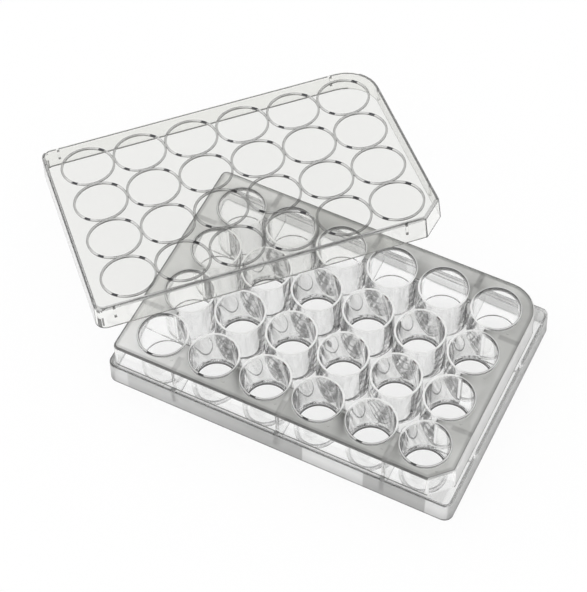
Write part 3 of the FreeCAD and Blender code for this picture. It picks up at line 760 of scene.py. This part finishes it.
# Bands with edges of their own: the foot of the upper wall and of the pockets' walls, the top of the wells,
# the lid's foot and the rounding inside its top.
WALL_FOOT = 0.7 * MM
POCKET_FOOT = 0.45 * MM
WELL_TOP = 2.4 * MM
LID_FOOT = 0.7 * MM
LID_HOLLOW_ROUND = 0.3 * MM
# Outside the wells' rims, counted from the axes of the outermost wells.
BESIDE_WELLS = 10 * MM
# In from the footprint: what counts as the skirt's outside, and as the upper wall's.
SKIRT_BAND = 1.2 * MM
WALL_BAND = 4 * MM
# Faces this near to a level or a radius are taken to lie on it.
HAIR = 0.02 * MM
# Edges that turn by more than this stay sharp.
SHARP = math.radians(32)
# What the legs of a corner cut at 45 degrees lose when its outline is set in by one.
CUT_LOSS = 2 - math.sqrt(2)
# Facets round the gate's stub and round a dot on the deck.
GATE_FACETS, DOT_FACETS = 24, 20
# Rounding under a well's foot.
FOOT_ROUND = 0.4 * MM
# How much narrower than its rim a well is at the foot of its top band.
TOP_TAPER = 0.03 * MM
# Bevel along a condensation ring's outer edge.
RING_BEVEL = 0.15 * MM


def reach(sizes):
    """From the middle of the wells to the axes of the outermost ones."""
    return (sizes.columns - 1) * sizes.pitch / 2, (sizes.rows - 1) * sizes.pitch / 2


def deck_half(sizes):
    """Half the deck's length and width."""
    half_x = sizes.plate_length / 2 - sizes.wall_inset_x - sizes.wall_draft
    return half_x, sizes.plate_width / 2 - sizes.wall_inset_y - sizes.wall_draft


def lid_half(plate, lid):
    """Half the lid's length and width at its foot."""
    return [half + lid.clearance + lid.draft + lid.wall for half in deck_half(plate)]


def lid_inside(plate, lid):
    """Half the room inside the lid's skirt at its top, along and across."""
    return [half - lid.wall - lid.draft for half in lid_half(plate, lid)]


def arm_from_axis(sizes, x, y):
    """Offset of a place from the axis of the nearest well."""
    reach_x, reach_y = reach(sizes)
    from_x, from_y = x - sizes.grid_shift_x + reach_x, y - sizes.grid_shift_y + reach_y
    column = min(max(round(from_x / sizes.pitch), 0), sizes.columns - 1)
    row = min(max(round(from_y / sizes.pitch), 0), sizes.rows - 1)
    return Vector((from_x - column * sizes.pitch, from_y - row * sizes.pitch))


def block_over_wells(name, sizes, low, high):
    """A box that reaches to the axes of the outermost wells, between two heights."""
    (x, y), (reach_x, reach_y) = (sizes.grid_shift_x, sizes.grid_shift_y), reach(sizes)
    return block(name, (x - reach_x, y - reach_y, low), (x + reach_x, y + reach_y, high))


def plate_outline(sizes, inset):
    half_x = sizes.plate_length / 2 - sizes.wall_inset_x - inset
    half_y = sizes.plate_width / 2 - sizes.wall_inset_y - inset
    cut = sizes.corner_cut - CUT_LOSS * inset
    return keyed_outline(half_x, half_y, sizes.small_radius - inset, sizes.large_radius - inset, cut)


def foot_outline(sizes, inset):
    half_x, half_y = sizes.plate_length / 2 - inset, sizes.plate_width / 2 - inset
    radius = sizes.foot_radius - inset
    return rounded([(x * half_x, y * half_y, radius) for x, y in ((-1, -1), (1, -1), (1, 1), (-1, 1))])


def leaning(outline_of, level, height, draft, radius=0.0, inset=0.0):
    """Rings of a leaning wall whose top edge is rounded."""
    lean = draft / height
    straight = height - radius
    rings = [(outline_of(inset), level), (outline_of(inset + lean * straight), level + straight)]
    for inward, up in quarter(radius)[1:] if radius else []:
        rings.append((outline_of(inset + lean * straight + inward), level + straight + up))
    if not radius:
        rings[-1] = (outline_of(inset + draft), level + height)
    return rings


def make_shell(sizes):
    """Skirt, ledge, upper wall and deck, hollow underneath and open over the wells."""
    deck_top = sizes.plate_height - sizes.rim_rise
    deck_under = deck_top - sizes.deck_thickness
    ledge_under = sizes.skirt_height - sizes.ledge_thickness

    def foot(inset):
        return foot_outline(sizes, inset)

    def wall(inset):
        return plate_outline(sizes, inset)

    skirt = solid_from_rings(
        "plate_body", leaning(foot, 0.0, sizes.skirt_height, sizes.skirt_draft, sizes.ledge_radius)
    )
    wall_height = deck_top - sizes.skirt_height
    wall_rings = leaning(wall, sizes.skirt_height, wall_height, sizes.wall_draft, sizes.lip_radius)
    band_inset = sizes.wall_draft * WALL_FOOT / wall_height
    wall_rings.insert(1, (wall(band_inset), sizes.skirt_height + WALL_FOOT))
    upper = solid_from_rings("upper_wall", [(wall(0.0), sizes.skirt_height - 2 * BITE)] + wall_rings)
    skirt_hollow = solid_from_rings(
        "skirt_hollow",
        [(foot(sizes.skirt_wall), -1.0 * MM)]
        + leaning(foot, 0.0, ledge_under, sizes.skirt_draft, 0.0, sizes.skirt_wall),
    )
    inset = sizes.wall_thickness + sizes.wall_draft
    wall_hollow = solid_from_rings(
        "wall_hollow", [(wall(inset), ledge_under - 2 * BITE), (wall(inset), deck_under)]
    )
    opening = block_over_wells("deck_opening", sizes, deck_under - BITE, deck_top + BITE)
    cuts = [("DIFFERENCE", hollow) for hollow in (skirt_hollow, wall_hollow, opening)]
    return combined(skirt, [("UNION", upper)] + cuts)


def pocket_walls(sizes, material):
    """Walls that thicken towards the floor, round the pockets between the wells."""
    deck_top = sizes.plate_height - sizes.rim_rise - BITE
    top_radius = sizes.well_radius + sizes.well_wall
    start = top_radius - sizes.pocket_inset
    foot = start + sizes.pocket_lean
    pan_top = sizes.pan_height + sizes.pan_thickness
    profile = [(foot, pan_top - sizes.pan_thickness / 2), (foot, pan_top + POCKET_FOOT), (start, deck_top)]
    pitch, columns, rows = sizes.pitch, sizes.columns, sizes.rows
    sets = []
    for first_column in (0, 1):
        for first_row in (0, 1):
            # Neighbouring walls run into each other, so every other one goes in at a time.
            across, along = (columns - first_column + 1) // 2, (rows - first_row + 1) // 2
            x = sizes.grid_shift_x + (first_column + across - 1 - (columns - 1) / 2) * pitch
            y = sizes.grid_shift_y + (first_row + along - 1 - (rows - 1) / 2) * pitch
            wall = turned("pocket_walls", profile, sizes.segments)
            sets.append(repeated(wall, across, along, 2 * pitch, 2 * pitch, (x, y), material))
    inside = block_over_wells("inside", sizes, 0.0, sizes.plate_height)
    return combined(sets[0], [("UNION", other) for other in sets[1:]] + [("INTERSECT", inside)])


def make_plate(sizes, material):
    deck_top = sizes.plate_height - sizes.rim_rise
    deck_under = deck_top - sizes.deck_thickness
    ledge_under = sizes.skirt_height - sizes.ledge_thickness
    middle = (sizes.grid_shift_x, sizes.grid_shift_y)
    reach_x, reach_y = reach(sizes)
    pitch, columns, rows = sizes.pitch, sizes.columns, sizes.rows
    plate = make_shell(sizes)
    plate.data.materials.clear()
    plate.data.materials.append(material)

    def copies(name, profile, segments, across, along, place):
        """A solid of revolution, repeated at the wells' pitch."""
        return repeated(turned(name, profile, segments), across, along, pitch, pitch, place, material)

    # Ribs run from the walls in to the axes of the outer wells, whose insides are cut out at the end.
    half = sizes.rib_thickness / 2
    bite = sizes.wall_thickness / 4
    steps = []
    half_x, half_y = sizes.plate_length / 2, sizes.plate_width / 2
    wall_x = half_x - sizes.wall_inset_x - sizes.wall_thickness - sizes.wall_draft + bite
    wall_y = half_y - sizes.wall_inset_y - sizes.wall_thickness - sizes.wall_draft + bite
    skirt_x, skirt_y = [end - sizes.skirt_wall + bite - sizes.skirt_draft for end in (half_x, half_y)]
    for name, top, end_x, end_y in (
        ("lower_ribs", ledge_under + BITE, skirt_x, skirt_y),
        ("upper_ribs", deck_under + BITE, wall_x, wall_y),
    ):
        for sign in (-1, 1):
            low, high = sorted((middle[1] + sign * reach_y, sign * end_y))
            rib = block("%s_%d" % (name, sign), (-half, low, sizes.rib_foot), (half, high, top))
            rib = repeated(rib, (columns + 1) // 2, 1, 2 * pitch, 0.0, (middle[0], 0.0), material)
            low, high = sorted((middle[0] + sign * reach_x, sign * end_x))
            end = block("%s_end_%d" % (name, sign), (low, -half, sizes.rib_foot), (high, half, top))
            end = repeated(end, 1, (rows + 1) // 2, 0.0, 2 * pitch, (0.0, middle[1]), material)
            steps += [("UNION", rib), ("UNION", end)]

    # The floor between the wells, and the webs between the outermost wells.
    pan_top = sizes.pan_height + sizes.pan_thickness
    pan = block_over_wells("pan", sizes, sizes.pan_height, pan_top)
    half = sizes.web_thickness / 2
    web_foot = sizes.pan_height + BITE
    web_rows = block("web_rows", (-reach_x, -half, web_foot), (reach_x, half, deck_top - BITE))
    web_rows = repeated(web_rows, 1, 2, 0.0, 2 * reach_y, middle, material)
    low, high = (-half, -reach_y, web_foot + BITE), (half, reach_y, deck_top - 2 * BITE)
    web_columns = repeated(block("web_columns", low, high), 2, 1, 2 * reach_x, 0.0, middle, material)
    steps += [("UNION", solid) for solid in (pan, web_rows, web_columns, pocket_walls(sizes, material))]

    # Cups, with rounded rims.
    floor = sizes.plate_height - sizes.well_depth
    foot = floor - sizes.well_floor
    rim = sizes.rim_round
    top_radius = sizes.well_radius + sizes.well_wall
    foot_radius = top_radius - sizes.well_draft
    cup = [(foot_radius - inward, foot + FOOT_ROUND - up) for inward, up in reversed(quarter(FOOT_ROUND, 3))]
    cup += [(top_radius, sizes.plate_height - rim)]
    cup += [(top_radius - inward, sizes.plate_height - rim + up) for inward, up in quarter(rim, 4)[1:]]
    steps.append(("UNION", copies("cups", cup, sizes.segments, columns, rows, middle)))

    # Marks that the mould leaves.
    wide, narrow = sizes.pad_radius + sizes.pad_bevel / 2, sizes.pad_radius - sizes.pad_bevel / 2
    pad = [(wide, pan_top - BITE), (wide, pan_top), (narrow, pan_top + sizes.pad_rise)]
    gate = [
        (sizes.gate_radius, sizes.pan_height - sizes.gate_length),
        (sizes.gate_radius, sizes.pan_height + BITE),
    ]
    dot = [(sizes.dot_radius, deck_top - BITE), (sizes.dot_radius, deck_top + sizes.dot_rise)]
    front = (middle[0] + sizes.dot_offset, middle[1] - reach_y - sizes.dot_offset)
    side = (middle[0] + reach_x + sizes.dot_offset, middle[1] + pitch / 2 - sizes.dot_offset)
    for mark in (
        ("ejector_pads", pad, sizes.segments // 2, columns - 1, rows - 1, middle),
        ("gate_stub", gate, GATE_FACETS, 1, 1, middle),
        ("front_dots", dot, DOT_FACETS, columns, 1, front),
        ("side_dots", dot, DOT_FACETS, 1, rows - 1, side),
    ):
        steps.append(("UNION", copies(*mark)))

    # The insides of the wells.
    corner = sizes.well_corner
    floor_radius = sizes.well_radius - sizes.well_draft
    bore = [(floor_radius - inward, floor + corner - up) for inward, up in reversed(quarter(corner, 6))]
    bore += [(sizes.well_radius - TOP_TAPER, sizes.plate_height - WELL_TOP)]
    bore += [(sizes.well_radius, sizes.plate_height - rim)]
    bore += [(sizes.well_radius + out, sizes.plate_height - rim + up) for out, up in quarter(rim, 4)[1:]]
    bore += [(sizes.well_radius + rim, sizes.plate_height + 1.0 * MM)]
    steps.append(("DIFFERENCE", copies("bores", bore, sizes.segments, columns, rows, middle)))
    combined(plate, steps)
    return smoothed(plate, SHARP)


def plate_faces(sizes):
    """Which finish each face of the plate has."""
    deck_top = sizes.plate_height - sizes.rim_rise
    floor = sizes.plate_height - sizes.well_depth
    pan_top = sizes.pan_height + sizes.pan_thickness
    top_radius = sizes.well_radius + sizes.well_wall
    middle = Vector((sizes.grid_shift_x, sizes.grid_shift_y))
    reach_x, reach_y = reach(sizes)

    def choose(centre, normal):
        x, y, z = centre
        arm = arm_from_axis(sizes, x, y)
        radius = arm.length
        radial = arm.dot(normal.xy) / max(radius, HAIR)
        out = max(abs(x - middle.x) - reach_x, abs(y - middle.y) - reach_y)
        edge = max(abs(x) - sizes.plate_length / 2, abs(y) - sizes.plate_width / 2)
        outward = x * normal.x + y * normal.y > 0
        if z > sizes.plate_height - sizes.rim_round - HAIR and radius < top_radius + HAIR:
            return "rims"
        if radius < sizes.well_radius + HAIR and radial < -0.05:
            if z < floor + sizes.well_corner and normal.z > 0.7:
                # Painted shade on the rounding round the floor, except in the left column and the back row.
                axis_x, axis_y = x - arm.x, y - arm.y
                dark = axis_x > middle.x - reach_x + MM and axis_y < middle.y + reach_y - MM
                return "floor edges" if dark else "clear"
            if z > sizes.plate_height - WELL_TOP:
                return "well tops"
            # Painted caught light on the walls, except on the outer side of the right column's wells.
            return "well walls" if x - middle.x < reach_x + MM else "clear"
        if abs(z - deck_top) < HAIR and normal.z > 0.99:
            return "deck"
        if z > deck_top + HAIR and radius > top_radius + HAIR:
            return "deck" if normal.z > 0.99 else "edges"
        # The lip's rounding: painted light where it faces right, painted shade elsewhere.
        if z > deck_top - sizes.lip_radius - HAIR and radius > top_radius + HAIR and normal.z > 0.05:
            return "right edges" if normal.x > 0.3 else "edges"
        if edge > -SKIRT_BAND and outward and HAIR < z < sizes.skirt_height:
            return "ledge edges" if normal.z > 0.1 else "skirt"
        if abs(z - sizes.skirt_height) < HAIR and normal.z > 0.9:
            return "ledge"
        # Painted shade on the skirt's foot.
        if z < HAIR:
            return "edges"
        # Painted shade along the foot of the upper wall's outside.
        foot_band = sizes.skirt_height < z < sizes.skirt_height + WALL_FOOT
        beside_wells = out > BESIDE_WELLS and radius > top_radius + MM
        if foot_band and outward and beside_wells and edge > -WALL_BAND:
            return "edges"
        # Painted shade on the ejector pads' sloping sides.
        if pan_top < z < pan_top + sizes.pad_rise and normal.z < 0.95 and radius > top_radius:
            return "corners" if abs(normal.z) > 0.3 else "pockets"
        # Painted shade on the gate's stub.
        if z < sizes.pan_height - HAIR and (Vector((x, y)) - middle).length < sizes.gate_radius + HAIR:
            return "corners"
        # Painted shade on the webs' upright faces.
        upright = max(abs(normal.x), abs(normal.y)) > 0.99
        if abs(out - sizes.web_thickness / 2) < HAIR and upright and z > pan_top:
            return "corners"
        if out < 0 and radial > 0.3 and z > pan_top and radius < top_radius + sizes.pocket_lean + HAIR:
            return "pockets"
        # Painted highlight on the upper wall where it faces the ends.
        if beside_wells and z > sizes.skirt_height and abs(normal.x) > 0.3:
            return "side walls"
        if out < 0 and pan_top - HAIR < z < pan_top + sizes.pad_rise + HAIR and normal.z > 0.99:
            return "pan"
        return "clear"

    return choose


def lid_outline(plate, lid, inset):
    """The lid's outline at its foot, set in: parallel to the deck's."""
    outset = lid.clearance + lid.draft + lid.wall - inset
    half_x, half_y = [half + outset for half in deck_half(plate)]
    cut = plate.corner_cut + CUT_LOSS * outset
    return keyed_outline(half_x, half_y, plate.small_radius + outset, plate.large_radius + outset, cut)


def lid_place(plate, lid):
    """Where the lid leans: its near edge on the rims, its far side tipped down to just above the deck."""
    down = Vector((-math.sin(lid.yaw), math.cos(lid.yaw), 0.0))
    pivot_local = Vector((0.0, -(lid_half(plate, lid)[1] - lid.wall), 0.0))
    pivot = Vector((lid.shift_x, lid.shift_y, 0.0)) + down * pivot_local.y
    pivot.z = plate.plate_height + lid.rest_gap
    deck_x, deck_y = deck_half(plate)
    radius = plate.small_radius
    corner = Vector((radius - deck_x, deck_y - radius, plate.plate_height - plate.rim_rise))
    corner += down * (radius - plate.lip_radius)
    run = (corner - pivot).dot(down)
    rise = corner.z + lid.rest_gap - pivot.z
    ring_edge = lid.depth - lid.top - lid.ring_height
    tilt = math.asin(ring_edge / math.hypot(run, rise)) - math.atan2(rise, run)
    rotation = Matrix.Rotation(lid.yaw, 4, "Z") @ Matrix.Rotation(-tilt, 4, "X")
    return Matrix.Translation(pivot - rotation @ pivot_local) @ rotation


def make_lid(plate, lid, material):
    """A shallow tray, open side down, made in its own frame; the lid operator then leans it on the plate."""

    def outline(inset):
        return lid_outline(plate, lid, inset)

    under = lid.depth - lid.top
    tray = solid_from_rings("lid_body", leaning(outline, 0.0, lid.depth, lid.draft, lid.edge_radius))
    tray.data.materials.append(material)
    lean = lid.draft / under
    hollow = solid_from_rings(
        "lid_hollow",
        [(outline(lid.wall - lean * MM), -1.0 * MM), (outline(lid.wall + lean * LID_FOOT), LID_FOOT)]
        + leaning(outline, 0.0, under, lid.draft, LID_HOLLOW_ROUND, lid.wall)[1:],
    )
    steps = [("DIFFERENCE", hollow)]
    middle = (plate.grid_shift_x, plate.grid_shift_y)
    pitch, columns, rows = plate.pitch, plate.columns, plate.rows
    inner = plate.well_radius + plate.well_wall + lid.ring_gap
    foot = under - lid.ring_height
    outer_profile = [(inner / 2, foot), (inner + lid.ring_width - RING_BEVEL, foot)]
    outer_profile += [(inner + lid.ring_width, foot + RING_BEVEL), (inner + lid.ring_width, under + BITE)]
    inner_profile = [(inner, foot - MM), (inner, under)]
    for parity in (0, 1):
        # Neighbouring rings run into each other, so each row's rings go in as two sets.
        for row in range(rows):
            first = (row + parity) % 2
            count = (columns - first + 1) // 2
            x = middle[0] + (first + (count - 1) - (columns - 1) / 2) * pitch
            y = middle[1] + (row - (rows - 1) / 2) * pitch
            ring = turned("ring", outer_profile, plate.segments)
            hole = turned("hole", inner_profile, plate.segments)
            ring = combined(ring, [("DIFFERENCE", hole)])
            steps.append(("UNION", repeated(ring, count, 1, 2 * pitch, 0.0, (x, y), material)))
    half = lid.guide_width / 2
    low, high = under - lid.guide_length, under + BITE
    inside_x, inside_y = lid_inside(plate, lid)
    bite = lid.wall / 2
    for x in (lid.guide_left_x, lid.guide_right_x):
        for sign in (-1, 1):
            y0, y1 = sorted((sign * (inside_y - lid.guide_reach), sign * (inside_y + bite)))
            steps.append(("UNION", block("guide", (x - half, y0, low), (x + half, y1, high))))
    for side, offset in ((-1, lid.guide_left_y), (1, lid.guide_right_y)):
        for sign in (-1, 1):
            x0, x1 = sorted((side * (inside_x - lid.guide_reach), side * (inside_x + bite)))
            y = sign * offset
            steps.append(("UNION", block("guide", (x0, y - half, low), (x1, y + half, high))))
    combined(tray, steps)
    return smoothed(tray, SHARP)


def lid_faces(plate, lid):
    """Which finish each face of the lid has, in the lid's own frame."""
    under = lid.depth - lid.top
    ring = plate.well_radius + plate.well_wall + lid.ring_gap
    inside_x, inside_y = lid_inside(plate, lid)

    def choose(centre, normal):
        # Rings, feet, edges and guides get painted shade; the far edge and the rounding inside it get painted
        # light.
        x, y, z = centre
        on_ring = ring - HAIR < arm_from_axis(plate, x, y).length < ring + lid.ring_width + HAIR
        if on_ring and under - lid.ring_height - HAIR < z < under - HAIR:
            return "rings"
        if z < LID_FOOT:
            at_far_side = y > inside_y - MM
            foot = z > HAIR and normal.y < -0.5 if at_far_side else z < HAIR
            return "feet" if foot else "clear"
        if z > lid.depth - lid.edge_radius and 0.05 < normal.z < 0.99:
            return "far edge" if normal.y > 0.1 and abs(normal.y) > abs(normal.x) else "edges"
        if under - LID_HOLLOW_ROUND < z < under - HAIR and y > inside_y - MM:
            return "far edge"
        if under - lid.guide_length - HAIR < z < under - HAIR:
            for place, inside in ((abs(x), inside_x), (abs(y), inside_y)):
                if inside - lid.guide_reach - HAIR < place < inside - 0.3 * lid.guide_reach:
                    return "guides"
        return "clear"

    return choose


# ---------------------------------------------------------------- operators


class WELLPLATE_OT_plate(bpy.types.Operator):
    """Make the clear plate with its twenty-four wells"""

    bl_idname = "well_plate.plate"
    bl_label = "Plate"

    def execute(self, context):
        sizes, finish = context.scene.well_plate_sizes, context.scene.well_plate_finish

        def plastic(name, colour, roughness=0.0, look=None, **settings):
            return clear_plastic(name, finish, colour, roughness, look, (sizes,), **settings)

        materials = {
            "clear": plastic("clear plate plastic", finish.clear),
            "deck": plastic("frosted deck", finish.frosted, look=deck_look),
            "skirt": plastic("skirt panels", finish.skirt, look=skirt_look),
            # Painted shade on rounded edges and round the wells' floors; painted light on the edges that face
            # right.
            "edges": plastic("painted dark edges", finish.edge, 0.35),
            "floor edges": plastic("painted shade round the well floors", finish.corner, 0.1, body=0.35),
            "right edges": plastic("painted light edges at the right", finish.skirt, 0.3),
            "pan": clear_plastic("floor between the wells", finish, finish.pan, look=pan_look),
            # Painted shade in the tight inside corners; painted highlight on the rims.
            "corners": plastic("painted dark corners", finish.corner, 0.1),
            "rims": plastic("well rims", finish.rim, 0.3, rim_look, body=0.35),
            "pockets": plastic("pocket walls", finish.clear, look=pocket_look),
            "well walls": plastic("insides of the wells", finish.clear, look=well_wall_look),
            "well tops": plastic("tops of the wells", finish.clear, look=well_top_look),
            "ledge": plastic("skirt ledge", finish.skirt, look=ledge_look),
            # Painted shade and light on the ledge's rounding; painted highlight on the side walls.
            "ledge edges": plastic("ledge edges", finish.edge, look=ledge_edge_look),
            "side walls": plastic("side walls", finish.rim, 0.3, body=0.4),
        }
        piece = make_plate(sizes, materials["clear"])
        finish_faces(piece, materials, plate_faces(sizes))
        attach(piece, "root")
        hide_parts("plate")
        return {"FINISHED"}


class WELLPLATE_OT_lid(bpy.types.Operator):
    """Make the clear lid, leaning across the plate's corner"""

    bl_idname = "well_plate.lid"
    bl_label = "Lid"

    def execute(self, context):
        sizes, lid = context.scene.well_plate_sizes, context.scene.well_plate_lid
        finish = context.scene.well_plate_finish
        materials = {
            "clear": clear_plastic("clear lid plastic", finish, finish.lid_clear),
            # Painted shade on the rings, the edges, the foot and the guides' ends; painted light on the far
            # edge.
            "rings": clear_plastic("condensation rings", finish, finish.panel, 0.1, ring_look, (sizes, lid)),
            "edges": clear_plastic("lid edges", finish, finish.panel, 0.2),
            "far edge": clear_plastic("lid far edge", finish, finish.rim, 0.4, body=0.0, edge_on=1.0),
            "feet": clear_plastic("lid foot", finish, finish.edge, 0.1),
            "guides": clear_plastic("lid guides", finish, finish.edge, look=guide_look, given=(lid,)),
        }
        piece = make_lid(sizes, lid, materials["clear"])
        finish_faces(piece, materials, lid_faces(sizes, lid))
        own = piece.data.attributes.new("lid_place", "FLOAT_VECTOR", "POINT")
        for vertex, value in zip(piece.data.vertices, own.data):
            value.vector = vertex.co
        piece.data.transform(lid_place(sizes, lid))
        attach(piece, "root")
        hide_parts("lid")
        return {"FINISHED"}


class WELLPLATE_OT_stage(bpy.types.Operator):
    """Make the floor, the soft light and the camera"""

    bl_idname = "well_plate.stage"
    bl_label = "Stage"

    def execute(self, context):
        scene, studio = context.scene, context.scene.well_plate_studio
        half = studio.floor_size / 2
        floor = block("floor", (-half, -half, -2 * MM), (half, half, 0.0))
        floor.data.materials.append(floor_paint())
        # Light crosses many walls, and runs along inside them.
        scene.cycles.max_bounces = 32
        scene.cycles.transmission_bounces = 32
        scene.cycles.glossy_bounces = 16
        scene.cycles.transparent_max_bounces = 48
        scene.world = soft_room()
        scene.camera = studio_camera(studio)
        scene.view_settings.view_transform = "Standard"
        return {"FINISHED"}


def floor_paint():
    material = bpy.data.materials.new("white floor")
    tree = fresh_tree(material)
    paint = value_of(tree, "ShaderNodeBsdfDiffuse", {0: (1.0, 1.0, 1.0)})
    add_node(tree, "ShaderNodeOutputMaterial", {0: paint})
    return material


def soft_room():
    """White light all round; polished surfaces see a ceiling that darkens overhead."""
    world = bpy.data.worlds.new("soft room")
    tree = fresh_tree(world)
    pattern = Pattern(tree, "Generated")
    ceiling = pattern.ramp(pattern.z, 0.15, 0.7, 1.0, 0.25)
    polished = ray(tree, "Glossy").most(ray(tree, "Transmission"))
    strength = value_of(tree, "ShaderNodeMix", {0: polished, 2: 1.0, 3: ceiling}, data_type="FLOAT")
    light = value_of(tree, "ShaderNodeBackground", {"Color": (1.0, 1.0, 1.0), "Strength": strength})
    add_node(tree, "ShaderNodeOutputWorld", {0: light})
    return world


def studio_camera(studio):
    data = bpy.data.cameras.new("camera")
    data.sensor_fit = "HORIZONTAL"
    data.sensor_width = 36.0
    data.lens = studio.lens
    data.clip_start, data.clip_end = 0.01, 10.0
    camera = bpy.data.objects.new("camera", data)
    bpy.context.collection.objects.link(camera)
    level = math.cos(studio.elevation)
    ahead, across = math.cos(studio.azimuth), math.sin(studio.azimuth)
    back = Vector((level * across, -level * ahead, math.sin(studio.elevation)))
    right = Vector((ahead, across, 0.0))
    up = back.cross(right)
    turned_right = right * math.cos(studio.roll) - up * math.sin(studio.roll)
    turned_up = up * math.cos(studio.roll) + right * math.sin(studio.roll)
    place = Matrix((turned_right, turned_up, back)).transposed().to_4x4()
    place.translation = Vector(studio.aim) + back * studio.distance
    camera.matrix_world = place
    return camera


class WELLPLATE_PT_panel(bpy.types.Panel):
    """The plate, its lid and the stage"""

    bl_idname = "WELLPLATE_PT_panel"
    bl_label = "Well Plate"
    bl_space_type = "VIEW_3D"
    bl_region_type = "UI"
    bl_category = "Well Plate"

    def draw(self, context):
        for operator in PIECES:
            self.layout.operator(operator.bl_idname)


PIECES = (WELLPLATE_OT_plate, WELLPLATE_OT_lid, WELLPLATE_OT_stage)
GROUPS = {
    "well_plate_sizes": PlateSizes,
    "well_plate_lid": LidSizes,
    "well_plate_finish": PlasticFinish,
    "well_plate_studio": Studio,
}


def register():
    for cls in (*GROUPS.values(), *PIECES, WELLPLATE_PT_panel):
        bpy.utils.register_class(cls)
    for name, group in GROUPS.items():
        setattr(bpy.types.Scene, name, bpy.props.PointerProperty(type=group))


def unregister():
    for name in GROUPS:
        delattr(bpy.types.Scene, name)
    for cls in reversed((*GROUPS.values(), *PIECES, WELLPLATE_PT_panel)):
        bpy.utils.unregister_class(cls)


def main():
    register()
    bpy.ops.well_plate.stage()
    bpy.ops.well_plate.plate()
    bpy.ops.well_plate.lid()


if __name__ == "__main__":
    main()
